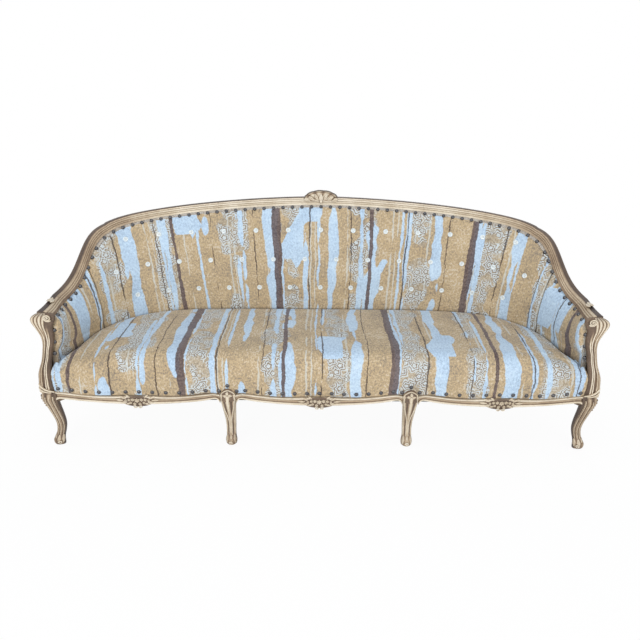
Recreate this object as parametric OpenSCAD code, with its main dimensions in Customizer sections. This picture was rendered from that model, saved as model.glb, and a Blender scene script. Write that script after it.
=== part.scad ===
// Long cabriole sofa: a carved show-wood frame with a curved back that sweeps down into the arms,
// a tufted inside back and a sprung seat, both upholstered over the frame and nailed round the edge.
// +X is to the sitter's left, -Y is the front, +Z is up. Depths are first counted from the front
// face of the seat rail, and then moved so that the origin is under the middle of the sofa.

/* [Seat] */
// Clear width between the arms at seat level
seat_w = 2080; // [1500:10:2400]
// Depth from the front seat rail to the inside back, at seat level
seat_d = 507; // [460:1:580]
// Height of the seat's edges above the knees of the legs
seat_t = 168; // [155:1:190]
// Extra height of the seat's crown in the middle
seat_crown = 9; // [4:1:25]
// Radius of the seat's rolled front edge
front_roll = 62; // [40:1:64]
// Radius of the seat's edge where it meets the back and arms
side_roll = 16; // [9:1:25]
// How much lower the seat's top is beside the arms
side_drop = 16; // [0:1:20]

/* [Back and arms] */
// Height of the nail line above the seat at the middle of the back
back_up = 475; // [430:1:520]
// Height above the seat that the nail line falls to at the shoulders
shoulder_up = 388; // [350:1:410]
// Height of the nail line above the seat along the arms
arm_up = 145; // [125:1:170]
// Thickness of the inside padding at its nailed edge
pad_t = 14; // [10:1:18]
// How far the inside back swells in its middle
back_swell = 24; // [10:1:32]
// How far the buttons pull the padding in
tuft_depth = 15; // [4:1:20]
// Outer radius of a tuft button
button_r = 11.5; // [8:0.5:13]

/* [Show wood] */
// Front-to-back depth of the moulded top rail
rail_d = 51; // [44:1:60]
// Height of the top rail's moulded face
rail_t = 35; // [28:1:45]
// Width of the arm rail
arm_rail_w = 64; // [56:1:70]
// Height of the arm rail's raised outer edge
arm_rail_t = 24; // [20:1:32]
// Height of the carved crest above the top rail
crest_rise = 30; // [20:1:40]
// Width of the carved crest
crest_w = 165; // [120:1:220]
// How far the scrolled arm posts swing out from their inner side
post_swing = 98; // [85:1:110]
// Height of the legs, up to the top of the knee
leg_h = 262; // [240:1:280]
// Width of a front leg at its knee
knee_w = 68; // [60:1:76]
// How far the front legs sweep forward
leg_sweep = 30; // [15:1:40]
// How far an arm post leans back at its head
post_lean = 20; // [8:1:22]
// Height of the front rail's moulding beside the legs
apron_t = 30; // [26:1:40]
// How far the front rail's lower edge dips between two legs
apron_dip = 35; // [15:1:45]

/* [Seat frame] */
// Height of the seat rails
frame_t = 86; // [80:1:96]
// How far the seat rails stand above the knees of the legs
frame_up = 24; // [18:1:28]
// Thickness of the front rail behind its moulding
front_rail_t = 40; // [32:1:48]
// Thickness of the curved side and rear seat rails
curved_rail_t = 67; // [55:1:70]
// Distance of the two middle front legs from the centre
inner_leg_x = 374; // [300:1:450]
// Width of the cross stretchers
stretcher_w = 34; // [25:1:45]

/* [Springs and covers] */
// Depth from the seat's top edge to the canvas over the springs
stuffing_t = 98; // [95:1:110]
// Radius of a seat spring at its ends
spring_r = 44; // [30:1:50]
// Radius of the spring wire
wire_r = 2.2; // [1.5:0.1:3]
// Thickness of the seat cover with its wadding
cover_t = 5; // [3:0.5:7]
// Thickness of the outside cover on its backing card
outside_t = 3; // [2:0.5:4]
// Width of the webbing strips
web_w = 50; // [40:1:60]
// Radius of a dome nail's head
nail_r = 8; // [5:0.5:9]
// Distance between neighbouring nails
nail_pitch = 51; // [30:1:70]

/* [Hidden] */

// Colours of the antiqued wood, cloth, nails and buttons
wood = "#b09a78";
plain_wood = "#8a6a48";
cloth = "#c8a56e";
hessian = "#a98d62";
steel = "#8f9296";
nail_colour = "#2c2a30";
button_colour = "#eef0ee";

// Heights from the floor
seat_h = leg_h + seat_t;
back_h = seat_h + back_up;
shoulder_h = seat_h + shoulder_up;
arm_h = seat_h + arm_up;
frame_top = leg_h + frame_up;
frame_h = frame_top - frame_t;
apron_leg_h = leg_h - apron_t;

// Clearance between a soft piece and what it lies against
seat_gap = 0.3;
// Clearance between the seat cover and the pieces beside it, which bend in flat steps
side_gap = 1.6;
// Clearance under a thin skin that bends in flat steps
skin_gap = 0.8;
// Clearance between the stuffing and the cover over it
stuffing_gap = 1.9;

// Plan of the inside back: a rounded curve with its own exponent for the sides and for the back
side_power = 5.5;
back_power = 2.2;
// Spreads the steps along the curve evenly
spread = 2.75;
// Outward lean of the sides and the back, as rise to run
side_lean_share = 0.18;
back_lean_share = 0.20;
// Near the front the sides lean inward instead: their turn's start, its lean and its limits in height
turn_start_share = 0.93;
turn_lean_share = 0.337;
turn_up = 62;
turn_low = 78;
turn_high = 68;
// Where the rail sweeps down to the arm, how steeply, and how the top is crowned
sweep_share = 0.834;
sweep_power = 25.5;
crown_end_share = 0.75;
crown_power = 1.68;
// Steps used to find a direction along the curve and up the padding
curve_step = 0.002;
pad_step = 0.035;

// Joints along the back curve, as shares of the way from the middle to the front of the arm
crest_end_share = 0.36;
arm_joint_share = 0.935;
pad_joint_share = 0.84;
curve_end_share = 0.992;
rear_leg_shares = [0.30, 0.70];
rear_block_share = 0.022;

// Distance of the back cover's outer face, uprights and rails from the nail line
cover_in = 8;
outer_off = rail_d - cover_in;
upright_in = pad_t + 3;
rail_in = outer_off - curved_rail_t;
rail_lip = 3;
rail_lift = 8;
pad_below = 1;

// The rail's section, from its inner lower edge over the top to its outer lower edge, as shares of
// its depth and height, at the middle of the back and at the arm
crest_section_shares = [
    [0, 0], [0, 0.28], [0.09, 0.40], [0.07, 0.60], [0.16, 0.86],
    [0.45, 1], [0.78, 0.92], [1, 0.6], [0.98, 0]
];
arm_section_shares = [
    [0, 0], [0, 0.28], [0.10, 0.44], [0.26, 0.46], [0.42, 0.74],
    [0.64, 0.76], [0.90, 0.90], [1, 0.62], [0.84, 0]
];

// Tufting: spacing along the curve, height of each row of buttons and how much it rises at the sides
button_pitch_share = 0.1165;
button_row_shares = [0.217, 0.493, 0.768];
button_rise_shares = [0.02, 0.11, 0.17];
button_last_shares = [0.72, 0.80, 0.72];
tuft_r = 46;

// Front outline of an arm post: swing out from its inner side and height, both as shares. The outer
// side is listed upwards and the inner side downwards.
post_outer_shares = [
    [0.97, 0], [0.96, 0.08], [0.94, 0.16], [0.90, 0.245], [0.81, 0.32], [0.69, 0.40], [0.61, 0.48],
    [0.55, 0.56], [0.505, 0.635], [0.505, 0.71], [0.535, 0.76], [0.595, 0.805], [0.68, 0.855],
    [0.75, 0.91], [0.785, 0.965], [0.74, 0.99], [0.58, 1.0], [0.40, 1.0]
];
post_inner_shares = [
    [0.12, 1.0], [-0.03, 0.99], [-0.11, 0.965], [-0.11, 0.93], [-0.03, 0.88], [0.05, 0.83], [0.06, 0.75],
    [0.08, 0.68], [0.14, 0.61], [0.22, 0.55], [0.29, 0.45], [0.36, 0.39], [0.41, 0.32], [0.43, 0.24],
    [0.43, 0.12], [0.40, 0]
];
scroll_r = 17;
scroll_depth = 5;
collar_h = 14;
collar_out = 4;
post_foot_share = 0.47;
post_foot_end_share = 0.985;

// Front leg: height, forward sweep and width, each as a share of its own size
leg_shares = [
    [0.011, 0.20, 0.52], [0.055, 0.34, 0.66], [0.11, 0.32, 0.68], [0.17, 0.12, 0.60], [0.24, -0.14, 0.56],
    [0.35, -0.34, 0.59], [0.46, -0.30, 0.64], [0.57, -0.10, 0.71], [0.69, 0.20, 0.80],
    [0.81, 0.46, 0.92], [0.90, 0.56, 1.0], [1, 0.44, 0.94]
];
// Section of a front leg, with its ridge forward, as shares of its width
leg_section_shares = [
    [0.42, -0.44], [0.5, 0.10], [0.38, 0.38], [0.15, 0.50], [-0.15, 0.50], [-0.38, 0.38], [-0.5, 0.10],
    [-0.42, -0.44]
];
leg_out = 54.6;
outer_leg_x = seat_w / 2 + leg_out;
outer_leg_y = 14;
outer_leg_angle = 45;
glide_r = 9;
glide_h = 3;
rear_leg_w = 40;
rear_leg_rake = 34;
rear_foot_share = 0.8;

// Show-wood moulding of the front rail: upper bead, hollow and lower bead
bead_out = 13;
hollow_out = 6;
bead_h = 10;
top_dip = 13;
apron_steps = 16;
flower_r = 9;
flower_ring = 15;
side_moulding_out = 8;
side_moulding_h = leg_h - frame_h;

// Small lengths of the frame and covers
web_drop = 26;
pad_lift = 14;
cover_lift = 6;
post_rise = 27;
post_gap = 5;
corner_block_w = 56;
corner_gap = 5;
leg_back = front_rail_t + corner_gap;
dust_edge = 12;
nail_lift = 10;
nail_out = 1.3;
nail_drop = 1;
nail_side_share = 0.989;
top_nail_share = 0.0333;
sweep_nail_share = 0.02;
pad_edge = 26;
button_out = 3.4;
hessian_inset = 4;

// Shares of a length or of the curve
knee_ahead_share = 0.56;
knee_side_share = 0.38;
joint_share = 0.0008;
post_return_share = 0.88;
post_throat_share = 0.97;
flat_share = 0.76;
seat_end_share = 0.983;
spring_span_shares = [0.885, 0.86, 0.72];
web_pitch_share = 0.125;

// Counts
webs_across = 19;
webs_along = 5;
back_webs = 9;
top_nail_spans = 24;
sweep_nail_spans = 9;
side_nail_count = 3;
seat_spans = 30;
petals = 6;
crest_petals = 7;
spring_columns = 8;
spring_rows = 3;
spring_turns = 4;
spring_sides = 3;
spring_steps = 6;
dome_fn = 32;
overrun = 1;

// Derived places
web_t = 1.5;
web_z = frame_h + web_drop;
spring_z = web_z + web_t + seat_gap;
hessian_z = seat_h - stuffing_t;
spring_h = hessian_z - seat_gap - spring_z;
stuffing_z = hessian_z + web_t + seat_gap;
cover_y = -cover_t - seat_gap;
post_x = seat_w / 2 + post_gap;
post_h = arm_h + post_rise - leg_h;
post_front = -bead_out - seat_gap;
pad_foot = frame_top + pad_lift;
wall_foot = frame_top + cover_lift;
block_w = knee_w;
outer_block_x = seat_w / 2 + rail_in;
rear_reach = back_run(back_h) + rail_d - rail_lip;
front_reach = (2 * knee_side_share * knee_w + knee_ahead_share * leg_sweep) * cos(outer_leg_angle) - outer_leg_y;
mid_y = (rear_reach - front_reach) / 2;

function back_run(z) = seat_d + back_lean_share * max(z - seat_h, 0);
function side_run(z) = seat_w / 2 + side_lean_share * max(z - seat_h, 0);

// How far the turn at the front has come at share u, and how far out it brings the side at height z
function turn(u) =
    let (t = min(max((u - turn_start_share) / (curve_end_share - turn_start_share), 0), 1))
    t * t * (3 - 2 * t);
function turn_out(z) = -turn_lean_share * min(max(z - seat_h - turn_up, -turn_low), turn_high);

// A point of the inside back curve at share u of the way round, u < 0 on the left, at height z
function curve(u, z) =
    let (t = 90 * pow(abs(u), spread), across = side_run(z) * pow(sin(t), 2 / side_power) + turn(abs(u)) * turn_out(z))
    [sign(u) * across, back_run(z) * pow(max(cos(t), 0), 2 / back_power)];

// Outward level normal of the curve
function normal(u) =
    let (
        hi = min(u + curve_step, 1),
        lo = max(hi - 2 * curve_step, -1),
        d = curve(hi, seat_h) - curve(lo, seat_h)
    )
    [-d.y, d.x] / norm(d);

// A point at a distance outward from the curve
function wall(u, z, off = 0) =
    let (p = curve(u, z) + off * normal(u))
    [p.x, p.y, z];

function sweep_down(u) = 1 / (1 + pow(abs(u) / sweep_share, sweep_power));

// Height of the nail line
function line_z(u) =
    arm_h + sweep_down(u) * (shoulder_h - arm_h
        + (back_h - shoulder_h) * (1 - pow(min(abs(u) / crown_end_share, 1), crown_power)));

// How much taller a rail is when cut upright where it slopes
function slope_gain(u) =
    let (
        hi = min(u + curve_step, 1),
        lo = max(hi - 2 * curve_step, -1),
        run = norm(curve(hi, seat_h) - curve(lo, seat_h)),
        rise = line_z(hi) - line_z(lo)
    )
    norm([run, rise]) / run;

// Steps along the curve, closer together where the rail sweeps down
function steps(from, to) =
    let (all = concat([for (i = [0:24]) i * 0.03], [for (i = [1:15]) 0.72 + i * 0.016], [0.97, 0.978, 0.985]))
    concat([from], [for (i = [1:len(all) - 1]) if (all[i] > from + 0.004 && all[i] < to - 0.004) all[i]], [to]);
function both_ways(end) =
    let (half = steps(0, end))
    concat([for (i = [len(half) - 1:-1:1]) -half[i]], half);
function reversed(list) = [for (i = [len(list) - 1:-1:0]) list[i]];
function mixed(a, b, share) = a + (b - a) * share;

// Closed solid through rings of equally many points, which run anticlockwise about the way they go.
// Where the caps aren't plain polygons, their faces are given for the first ring.
module loft(rings, cap = []) {
    m = len(rings[0]);
    points = [for (ring = rings) for (p = ring) p];
    sides = [
        for (i = [0:len(rings) - 2]) for (j = [0:m - 1])
            let (a = i * m + j, b = i * m + (j + 1) % m, c = a + m, d = b + m)
            each [[a, c, d], [a, d, b]]
    ];
    first = len(cap) > 0 ? cap : [[for (j = [0:m - 1]) j]];
    last = [for (face = first) [for (j = reversed(face)) (len(rings) - 1) * m + j]];
    polyhedron(points, concat(sides, first, last), convexity = 8);
}

// Moves a piece from depths counted from the front rail to the sofa's own frame
module placed() {
    translate([0, -mid_y, 0]) children();
}

// Turns a piece that stands up Z so that it stands along a direction, at a point
module standing(point, way) {
    translate(point)
        rotate([0, acos(way.z / norm(way)), atan2(way.y, way.x)])
            children();
}

// The low dome of a nail or button, on its flat back
module dome(r, h) {
    ball = (r * r + h * h) / (2 * h);
    intersection() {
        translate([0, 0, h - ball]) sphere(ball, $fn = dome_fn);
        cylinder(h = h, r = r, $fn = dome_fn);
    }
}

// Top rail: section at share u, blended from the crest's to the arm's
function rail_section(u) =
    let (
        blend = 1 - sweep_down(u),
        gain = mixed(slope_gain(u), 1, blend * blend),
        at = line_z(u)
    )
    [
        for (i = [len(crest_section_shares) - 1:-1:0])
            let (
                crest = [crest_section_shares[i].x * rail_d, crest_section_shares[i].y * rail_t],
                arm = [arm_section_shares[i].x * arm_rail_w, arm_section_shares[i].y * arm_rail_t],
                q = mixed(crest, arm, blend)
            )
            wall(u, at, q.x - rail_lip) + [0, 0, (q.y + rail_lift) * gain]
    ];
module rail_piece(shares) {
    loft([for (u = shares) rail_section(u)]);
}

// Crest: a fan of lobes that rises from the middle of the top rail
module crest_carving() {
    depth = back_run(back_h) + rail_d / 2 - rail_lip;
    foot = back_h + rail_lift + rail_t * 0.55;
    lobe = crest_w * 0.07;
    for (i = [0:crest_petals - 1]) {
        angle = 180 * i / (crest_petals - 1);
        reach = [cos(angle) * (crest_w / 2 - lobe), sin(angle) * (crest_rise + rail_t * 0.45 - lobe)];
        hull() {
            translate([0, depth, foot]) sphere(lobe, $fn = 10);
            translate([reach.x, depth, foot + reach.y]) sphere(lobe, $fn = 10);
        }
    }
    hull() {
        for (side = [-1, 1]) translate([side * crest_w * 0.35, depth, foot]) sphere(lobe, $fn = 10);
        translate([0, depth, foot + crest_rise * 0.5]) sphere(lobe * 1.4, $fn = 10);
    }
}
module crest_rail() {
    color(wood) placed() render() union() {
        rail_piece(both_ways(crest_end_share));
        crest_carving();
    }
}
module shoulder_rail(side) {
    half = steps(crest_end_share, arm_joint_share);
    color(wood) placed() rail_piece(side > 0 ? half : -reversed(half));
}
module shoulder_rail_left() { shoulder_rail(-1); }
module shoulder_rail_right() { shoulder_rail(1); }
module arm_rail(side) {
    half = steps(arm_joint_share, curve_end_share);
    color(wood) placed() rail_piece(side > 0 ? half : -reversed(half));
}
module arm_rail_left() { arm_rail(-1); }
module arm_rail_right() { arm_rail(1); }

// Depth at which the curve ends, where the arm posts begin
function post_back() = wall(curve_end_share, arm_h).y;

// Depth and height of the post's leaning face, at a height over its foot
function lean_point(up) = [post_front + post_lean * up / post_h, leg_h + up];

// Arm post: an S-shaped upright with a collar at its foot and a scroll at its head
module arm_post(side) {
    outline = concat(post_outer_shares, post_inner_shares);
    back = post_back();
    head = [post_x + scroll_r * 0.3, leg_h + post_h - scroll_r * 0.75];
    head_y = post_front + post_lean * (head.y - leg_h) / post_h + scroll_depth;
    foot_x = post_x + post_foot_share * post_swing;
    foot_w = (post_foot_end_share - post_foot_share) * post_swing;
    color(wood) placed() mirror([side > 0 ? 0 : 1, 0, 0]) {
        difference() {
            translate([0, back, 0]) rotate([90, 0, 0])
                linear_extrude(back - post_front + overrun)
                    polygon([for (q = outline) [post_x + q.x * post_swing, leg_h + q.y * post_h]]);
            translate([post_x - post_swing, 0, 0]) rotate([90, 0, 90])
                linear_extrude(2 * post_swing)
                    polygon([
                        lean_point(-overrun), lean_point(post_h + overrun),
                        [post_front - 2 * overrun, leg_h + post_h + overrun],
                        [post_front - 2 * overrun, leg_h - overrun]
                    ]);
        }
        for (r = [scroll_r, scroll_r * 0.5])
            translate([head.x, head_y, head.y])
                rotate([90, 0, 0])
                    cylinder(h = scroll_depth * (r == scroll_r ? 2 : 3), r = r, $fn = 20);
        translate([foot_x, post_front - collar_out, leg_h])
            cube([foot_w, collar_out + scroll_depth, collar_h]);
    }
}
module arm_post_left() { arm_post(-1); }
module arm_post_right() { arm_post(1); }

// Front leg: rings of the ridged section along an S-curve, and a block that holds the seat rails
module cabriole(x, y, angle) {
    rings = [
        for (q = leg_shares)
            let (ahead = q[1] * leg_sweep, w = q[2] * knee_w)
            [
                for (s = leg_section_shares)
                    let (side_way = s.x * w, front_way = ahead + s.y * w)
                    [
                        x + side_way * cos(angle) + front_way * sin(angle),
                        y + side_way * sin(angle) - front_way * cos(angle),
                        max(q[0] * leg_h, glide_h)
                    ]
            ]
    ];
    loft([for (ring = rings) reversed(ring)]);
}
module front_leg_outer(side) {
    color(wood) placed() mirror([side > 0 ? 0 : 1, 0, 0]) {
        cabriole(outer_leg_x, outer_leg_y, outer_leg_angle);
        translate([outer_block_x, 0, frame_h]) cube([outer_leg_x - outer_block_x, leg_back, leg_h - frame_h]);
        translate([outer_block_x, 0, frame_h])
            cube([post_inner_x(leg_h) - 2 * side_gap - cover_t - outer_block_x, leg_back, frame_top - frame_h]);
    }
}
module front_leg_inner(side) {
    color(wood) placed() mirror([side > 0 ? 0 : 1, 0, 0]) {
        cabriole(inner_leg_x, front_rail_t / 2, 0);
        translate([inner_leg_x - block_w / 2, 0, frame_h])
            cube([block_w, front_rail_t, frame_top - frame_h]);
    }
}
module front_leg_outer_left() { front_leg_outer(-1); }
module front_leg_outer_right() { front_leg_outer(1); }
module front_leg_inner_left() { front_leg_inner(-1); }
module front_leg_inner_right() { front_leg_inner(1); }

// Curved rail of the seat frame between two shares of the curve
function curved_outline(from, to, in, out) =
    let (half = steps(from, to))
    concat(
        [for (u = half) let (p = wall(u, seat_h, out)) [p.x, max(p.y, leg_back)]],
        [for (u = reversed(half)) let (p = wall(u, seat_h, in)) [p.x, max(p.y, leg_back)]]
    );
module curved_rail(from, to, z0, z1, in = rail_in, out = outer_off) {
    translate([0, 0, z0]) linear_extrude(z1 - z0) polygon(curved_outline(from, to, in, out));
}

// Rear leg: raked foot, block in the seat frame and upright up to the top rail
module rear_leg(u, side) {
    from = u - rear_block_share;
    to = u + rear_block_share;
    foot = [
        [glide_h, rear_leg_rake, rear_foot_share], [frame_h * 0.5, rear_leg_rake * 0.35, 0.9],
        [frame_h + overrun, 0, 1]
    ];
    middle = (rail_in + outer_off) / 2 + (curved_rail_t - rear_leg_w) / 2;
    way = [normal(u).x, normal(u).y, 0];
    along = [-way.y, way.x, 0];
    rings = [
        for (q = foot) [
            for (c = [[-1, -1], [-1, 1], [1, 1], [1, -1]])
                let (p = wall(u, seat_h, middle + q[1]))
                [p.x, p.y, q[0]] + (way * c.x + along * c.y) * rear_leg_w / 2 * q[2]
        ]
    ];
    top = line_z(to) + rail_lift - pad_below;
    upright = [
        for (z = [frame_top - overrun, seat_h, top]) [
            wall(from, z, upright_in), wall(from, z, outer_off), wall(to, z, outer_off), wall(to, z, upright_in)
        ]
    ];
    color(plain_wood) placed() mirror([side > 0 ? 0 : 1, 0, 0]) {
        loft([for (ring = rings) reversed(ring)]);
        curved_rail(from, to, frame_h, frame_top);
        loft([for (ring = upright) reversed(ring)]);
    }
}
module rear_leg_outer_left() { rear_leg(rear_leg_shares[1], -1); }
module rear_leg_inner_left() { rear_leg(rear_leg_shares[0], -1); }
module rear_leg_inner_right() { rear_leg(rear_leg_shares[0], 1); }
module rear_leg_outer_right() { rear_leg(rear_leg_shares[1], 1); }

// Front rail: a serpentine lower edge, a flat body under the cloth and a moulded band below it
outer_span = [inner_leg_x + block_w / 2, outer_leg_x - knee_w * 0.6];
function span_share(x) =
    let (
        ax = abs(x),
        inner_edge = inner_leg_x - block_w / 2,
        s = ax < inner_edge ? (x + inner_edge) / (2 * inner_edge)
            : (ax - outer_span.x) / (outer_span.y - outer_span.x)
    )
    min(max(s, 0), 1);
function apron_low(x) = apron_leg_h - apron_dip * sin(180 * span_share(x));
function apron_high(x) = leg_h - top_dip * sin(180 * span_share(x));

// Band between two heights that follow the rail, from x0 to x1, between two depths
module band(x0, x1, y0, y1, low, high) {
    xs = [for (i = [0:apron_steps]) mixed(x0, x1, i / apron_steps)];
    outline = concat(
        [for (i = [0:apron_steps]) [xs[i], low[i]]],
        [for (i = [apron_steps:-1:0]) [xs[i], high[i]]]
    );
    translate([0, y1, 0]) rotate([90, 0, 0]) linear_extrude(y1 - y0) polygon(outline);
}
module carved_flower(x, z) {
    translate([x, -bead_out, z]) sphere(flower_r, $fn = 24);
    for (i = [0:petals - 1])
        translate([x + flower_ring * cos(360 * i / petals), -bead_out, z + flower_ring * sin(360 * i / petals)])
            sphere(flower_r, $fn = 24);
}
module front_rail(x0, x1, body_end) {
    xs = [for (i = [0:apron_steps]) mixed(x0, x1, i / apron_steps)];
    low = [for (x = xs) apron_low(x)];
    high = [for (x = xs) apron_high(x)];
    flat_top = [for (x = xs) frame_top];
    body_xs = [for (i = [0:apron_steps]) mixed(x0, body_end, i / apron_steps)];
    middle = (x0 + x1) / 2;
    color(wood) placed() {
        band(x0, body_end, 0, front_rail_t, [for (x = body_xs) apron_low(x)], flat_top);
        band(x0, x1, -hollow_out, 0, low, high);
        band(x0, x1, -bead_out, -hollow_out, low, low + [for (x = xs) bead_h]);
        band(x0, x1, -bead_out, -hollow_out, high - [for (x = xs) bead_h], high);
        carved_flower(middle, apron_low(middle) + flower_r);
    }
}
module front_rail_left() { mirror([1, 0, 0]) front_rail(outer_span.x, outer_span.y, outer_block_x); }
module front_rail_right() { front_rail(outer_span.x, outer_span.y, outer_block_x); }
module front_rail_centre() {
    edge = inner_leg_x - block_w / 2;
    front_rail(-edge, edge, edge);
}

// Side and rear seat rails
module side_seat_rail(side) {
    from = rear_leg_shares[1] + rear_block_share;
    color(wood) placed() mirror([side > 0 ? 0 : 1, 0, 0]) {
        curved_rail(from, curve_end_share, frame_h, frame_top);
        curved_rail(from, curve_end_share, frame_h, frame_h + side_moulding_h, outer_off,
            outer_off + side_moulding_out);
    }
}
module side_seat_rail_left() { side_seat_rail(-1); }
module side_seat_rail_right() { side_seat_rail(1); }
module rear_seat_rail(from, to, side) {
    color(plain_wood) placed() mirror([side > 0 ? 0 : 1, 0, 0])
        curved_rail(from, to, frame_h, frame_top);
}
module rear_seat_rail_left() {
    rear_seat_rail(rear_leg_shares[0] + rear_block_share, rear_leg_shares[1] - rear_block_share, -1);
}
module rear_seat_rail_right() {
    rear_seat_rail(rear_leg_shares[0] + rear_block_share, rear_leg_shares[1] - rear_block_share, 1);
}
module rear_seat_rail_centre() {
    end = rear_leg_shares[0] - rear_block_share;
    ring = both_ways(end);
    color(plain_wood) placed() translate([0, 0, frame_h]) linear_extrude(frame_top - frame_h)
        polygon(concat(
            [for (u = ring) let (p = wall(u, seat_h, outer_off)) [p.x, p.y]],
            [for (u = reversed(ring)) let (p = wall(u, seat_h, rail_in)) [p.x, p.y]]
        ));
}

// Stretchers that tie each inner front leg to the rear seat rail behind it
module stretcher(side) {
    inner_edge = inner_leg_x - stretcher_w / 2;
    reach = wall(rear_leg_shares[0] - rear_block_share, seat_h, rail_in).y - 1;
    color(plain_wood) placed() mirror([side > 0 ? 0 : 1, 0, 0])
        translate([inner_edge, front_rail_t, frame_h])
            cube([stretcher_w, reach - front_rail_t, web_z - seat_gap - frame_h]);
}
module stretcher_left() { stretcher(-1); }
module stretcher_right() { stretcher(1); }

// Glued blocks in the two front corners
module corner_blocks() {
    color(plain_wood) placed() for (side = [-1, 1]) mirror([side > 0 ? 0 : 1, 0, 0])
        translate([outer_block_x, front_rail_t, frame_h])
            linear_extrude(web_z - seat_gap - frame_h)
                polygon([
                    [-corner_gap, 0], [-corner_gap, corner_block_w * 0.75], [-corner_block_w, corner_block_w * 0.2],
                    [-corner_block_w, 0]
                ]);
}

// Metal glides under the feet
module foot_glides() {
    toe = leg_shares[0][1] * leg_sweep;
    turn = outer_leg_angle;
    rear = (rail_in + outer_off) / 2 + (curved_rail_t - rear_leg_w) / 2 + rear_leg_rake;
    spots = concat(
        [[inner_leg_x, front_rail_t / 2 - toe, 0]],
        [[outer_leg_x + toe * sin(turn), outer_leg_y - toe * cos(turn), 0]],
        [for (u = rear_leg_shares) let (p = wall(u, seat_h, rear)) [p.x, p.y, 0]]
    );
    color(steel) placed() for (side = [-1, 1], spot = spots)
        translate([side * spot.x, spot.y, 0]) cylinder(h = glide_h, r = glide_r, $fn = 32);
}

// Plan of the inside of the seat frame, up to a distance from the curve
module frame_plan(off, front) {
    ring = both_ways(curve_end_share);
    polygon(concat(
        [for (u = ring) let (p = wall(u, seat_h, off)) [p.x, max(p.y, front)]],
        [[wall(curve_end_share, seat_h, off).x, front], [-wall(curve_end_share, seat_h, off).x, front]]
    ));
}

// Webbing strips across and along the seat, and up the back
module seat_webbing() {
    pitch = seat_w / (webs_across + 1);
    depth_pitch = seat_d / (webs_along + 1);
    color(hessian) placed() translate([0, 0, web_z]) linear_extrude(web_t)
        intersection() {
            frame_plan(rail_in - seat_gap, front_rail_t + seat_gap);
            union() {
                for (i = [0:webs_across - 1])
                    translate([(i - (webs_across - 1) / 2) * pitch - web_w / 2, 0]) square([web_w, 2 * seat_d]);
                for (i = [1:webs_along])
                    translate([-seat_w, i * depth_pitch - web_w / 2]) square([2 * seat_w, web_w]);
            }
        }
}

// Hourglass coil springs, each one unbroken wire
module coil_spring() {
    count = spring_turns * spring_steps;
    rings = [
        for (i = [0:count])
            let (
                part = i / count,
                angle = 360 * spring_turns * part,
                r = spring_r * (0.68 + 0.32 * pow(2 * part - 1, 2)) - wire_r,
                at = [r * cos(angle), r * sin(angle), wire_r + part * (spring_h - 2 * wire_r)],
                out = [cos(angle), sin(angle), 0]
            )
            [
                for (k = [0:spring_sides - 1])
                    let (turn = 360 * k / spring_sides)
                    at + wire_r * (cos(turn) * out + [0, 0, sin(turn)])
            ]
    ];
    loft([for (ring = rings) reversed(ring)]);
}
module seat_springs() {
    y_pitch = (seat_d - 2 * spring_r) / (spring_rows + 0.4);
    color(steel) placed()
        for (i = [0:spring_columns - 1], j = [0:spring_rows - 1])
            translate([
                (2 * i / (spring_columns - 1) - 1) * spring_span_shares[j] * seat_w / 2,
                front_rail_t + spring_r * 1.4 + j * y_pitch,
                spring_z
            ]) coil_spring();
}

// Canvas over the springs
module spring_hessian() {
    color(hessian) placed() translate([0, 0, hessian_z]) linear_extrude(web_t)
        frame_plan(-cover_t - side_gap - hessian_inset, 0);
}

// Firm stuffed roll on top of the front rail
module front_edge_roll() {
    high = hessian_z - seat_gap - (frame_top + seat_gap);
    end = seat_w / 2 - front_rail_t;
    r = high * 0.3;
    color(hessian) placed() translate([-end, 0, frame_top + seat_gap]) rotate([90, 0, 90])
        linear_extrude(2 * end) translate([r, r]) offset(r) square([front_rail_t - 2 * r, high - 2 * r]);
}

// Seat form. Inner side of the arm post at a height, which the seat's front corners follow
function post_inner_x(z) = post_x + post_swing * lookup(z,
    [for (q = post_inner_shares) if (q.y < 0.85) [leg_h + q.y * post_h, q.x]]);

// Places round the seat, anticlockwise from its front left corner: each [kind, share], where kind 0 is
// the front, 1 and 2 the short return beside the post and 3 the curve of the arms and back
seat_spots = concat(
    [for (i = [0:seat_spans]) [0, 2 * i / seat_spans - 1]],
    [[1, 1], [2, 1]],
    [for (i = [0:seat_spans]) [3, seat_end_share * (1 - 2 * i / seat_spans)]],
    [[2, -1], [1, -1]]
);

// Faces of a cap over such a ring: strips from the front to the curve, and a fan at each front corner
function seat_cap() =
    let (last = len(seat_spots) - 3)
    concat(
        [
            for (i = [0:seat_spans - 1])
                each [[i, i + 1, last - i - 1], [i, last - i - 1, last - i]]
        ],
        [
            [seat_spans, seat_spans + 1, seat_spans + 2], [seat_spans, seat_spans + 2, seat_spans + 3],
            [0, last, last + 1], [0, last + 1, last + 2]
        ]
    );

// Edge of the seat at a place, for a form drawn in by the distance o, at height z
function seat_edge(spot, z, o) =
    let (corner = post_inner_x(min(max(z, leg_h), leg_h + 0.6 * post_h)) - side_gap - o)
    spot[0] == 0 ? [spot[1] * corner, cover_y + o]
    : spot[0] == 1 ? [spot[1] * corner, post_back() * post_return_share]
    : spot[0] == 2 ? [spot[1] * wall(curve_end_share, seat_h, -side_gap - o).x, post_back() * post_throat_share]
    : wall(spot[1], seat_h, -side_gap - o);

function seat_roll(spot) = spot[0] == 0 ? front_roll : spot[0] == 1 ? mixed(side_roll, front_roll, 0.35) : side_roll;

// Height of the seat's edge, before the middle crown
function seat_edge_z(spot) =
    let (p = seat_edge(spot, seat_h, 0))
    seat_h - side_drop * pow(abs(p.x) / (seat_w / 2), 6) - seat_crown * 0.5 * (1 - p.y / seat_d);

// Point where the inner rings draw together
function spine(p) = [min(max(p.x, -seat_w * 0.41), seat_w * 0.41), seat_d * 0.5];

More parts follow.
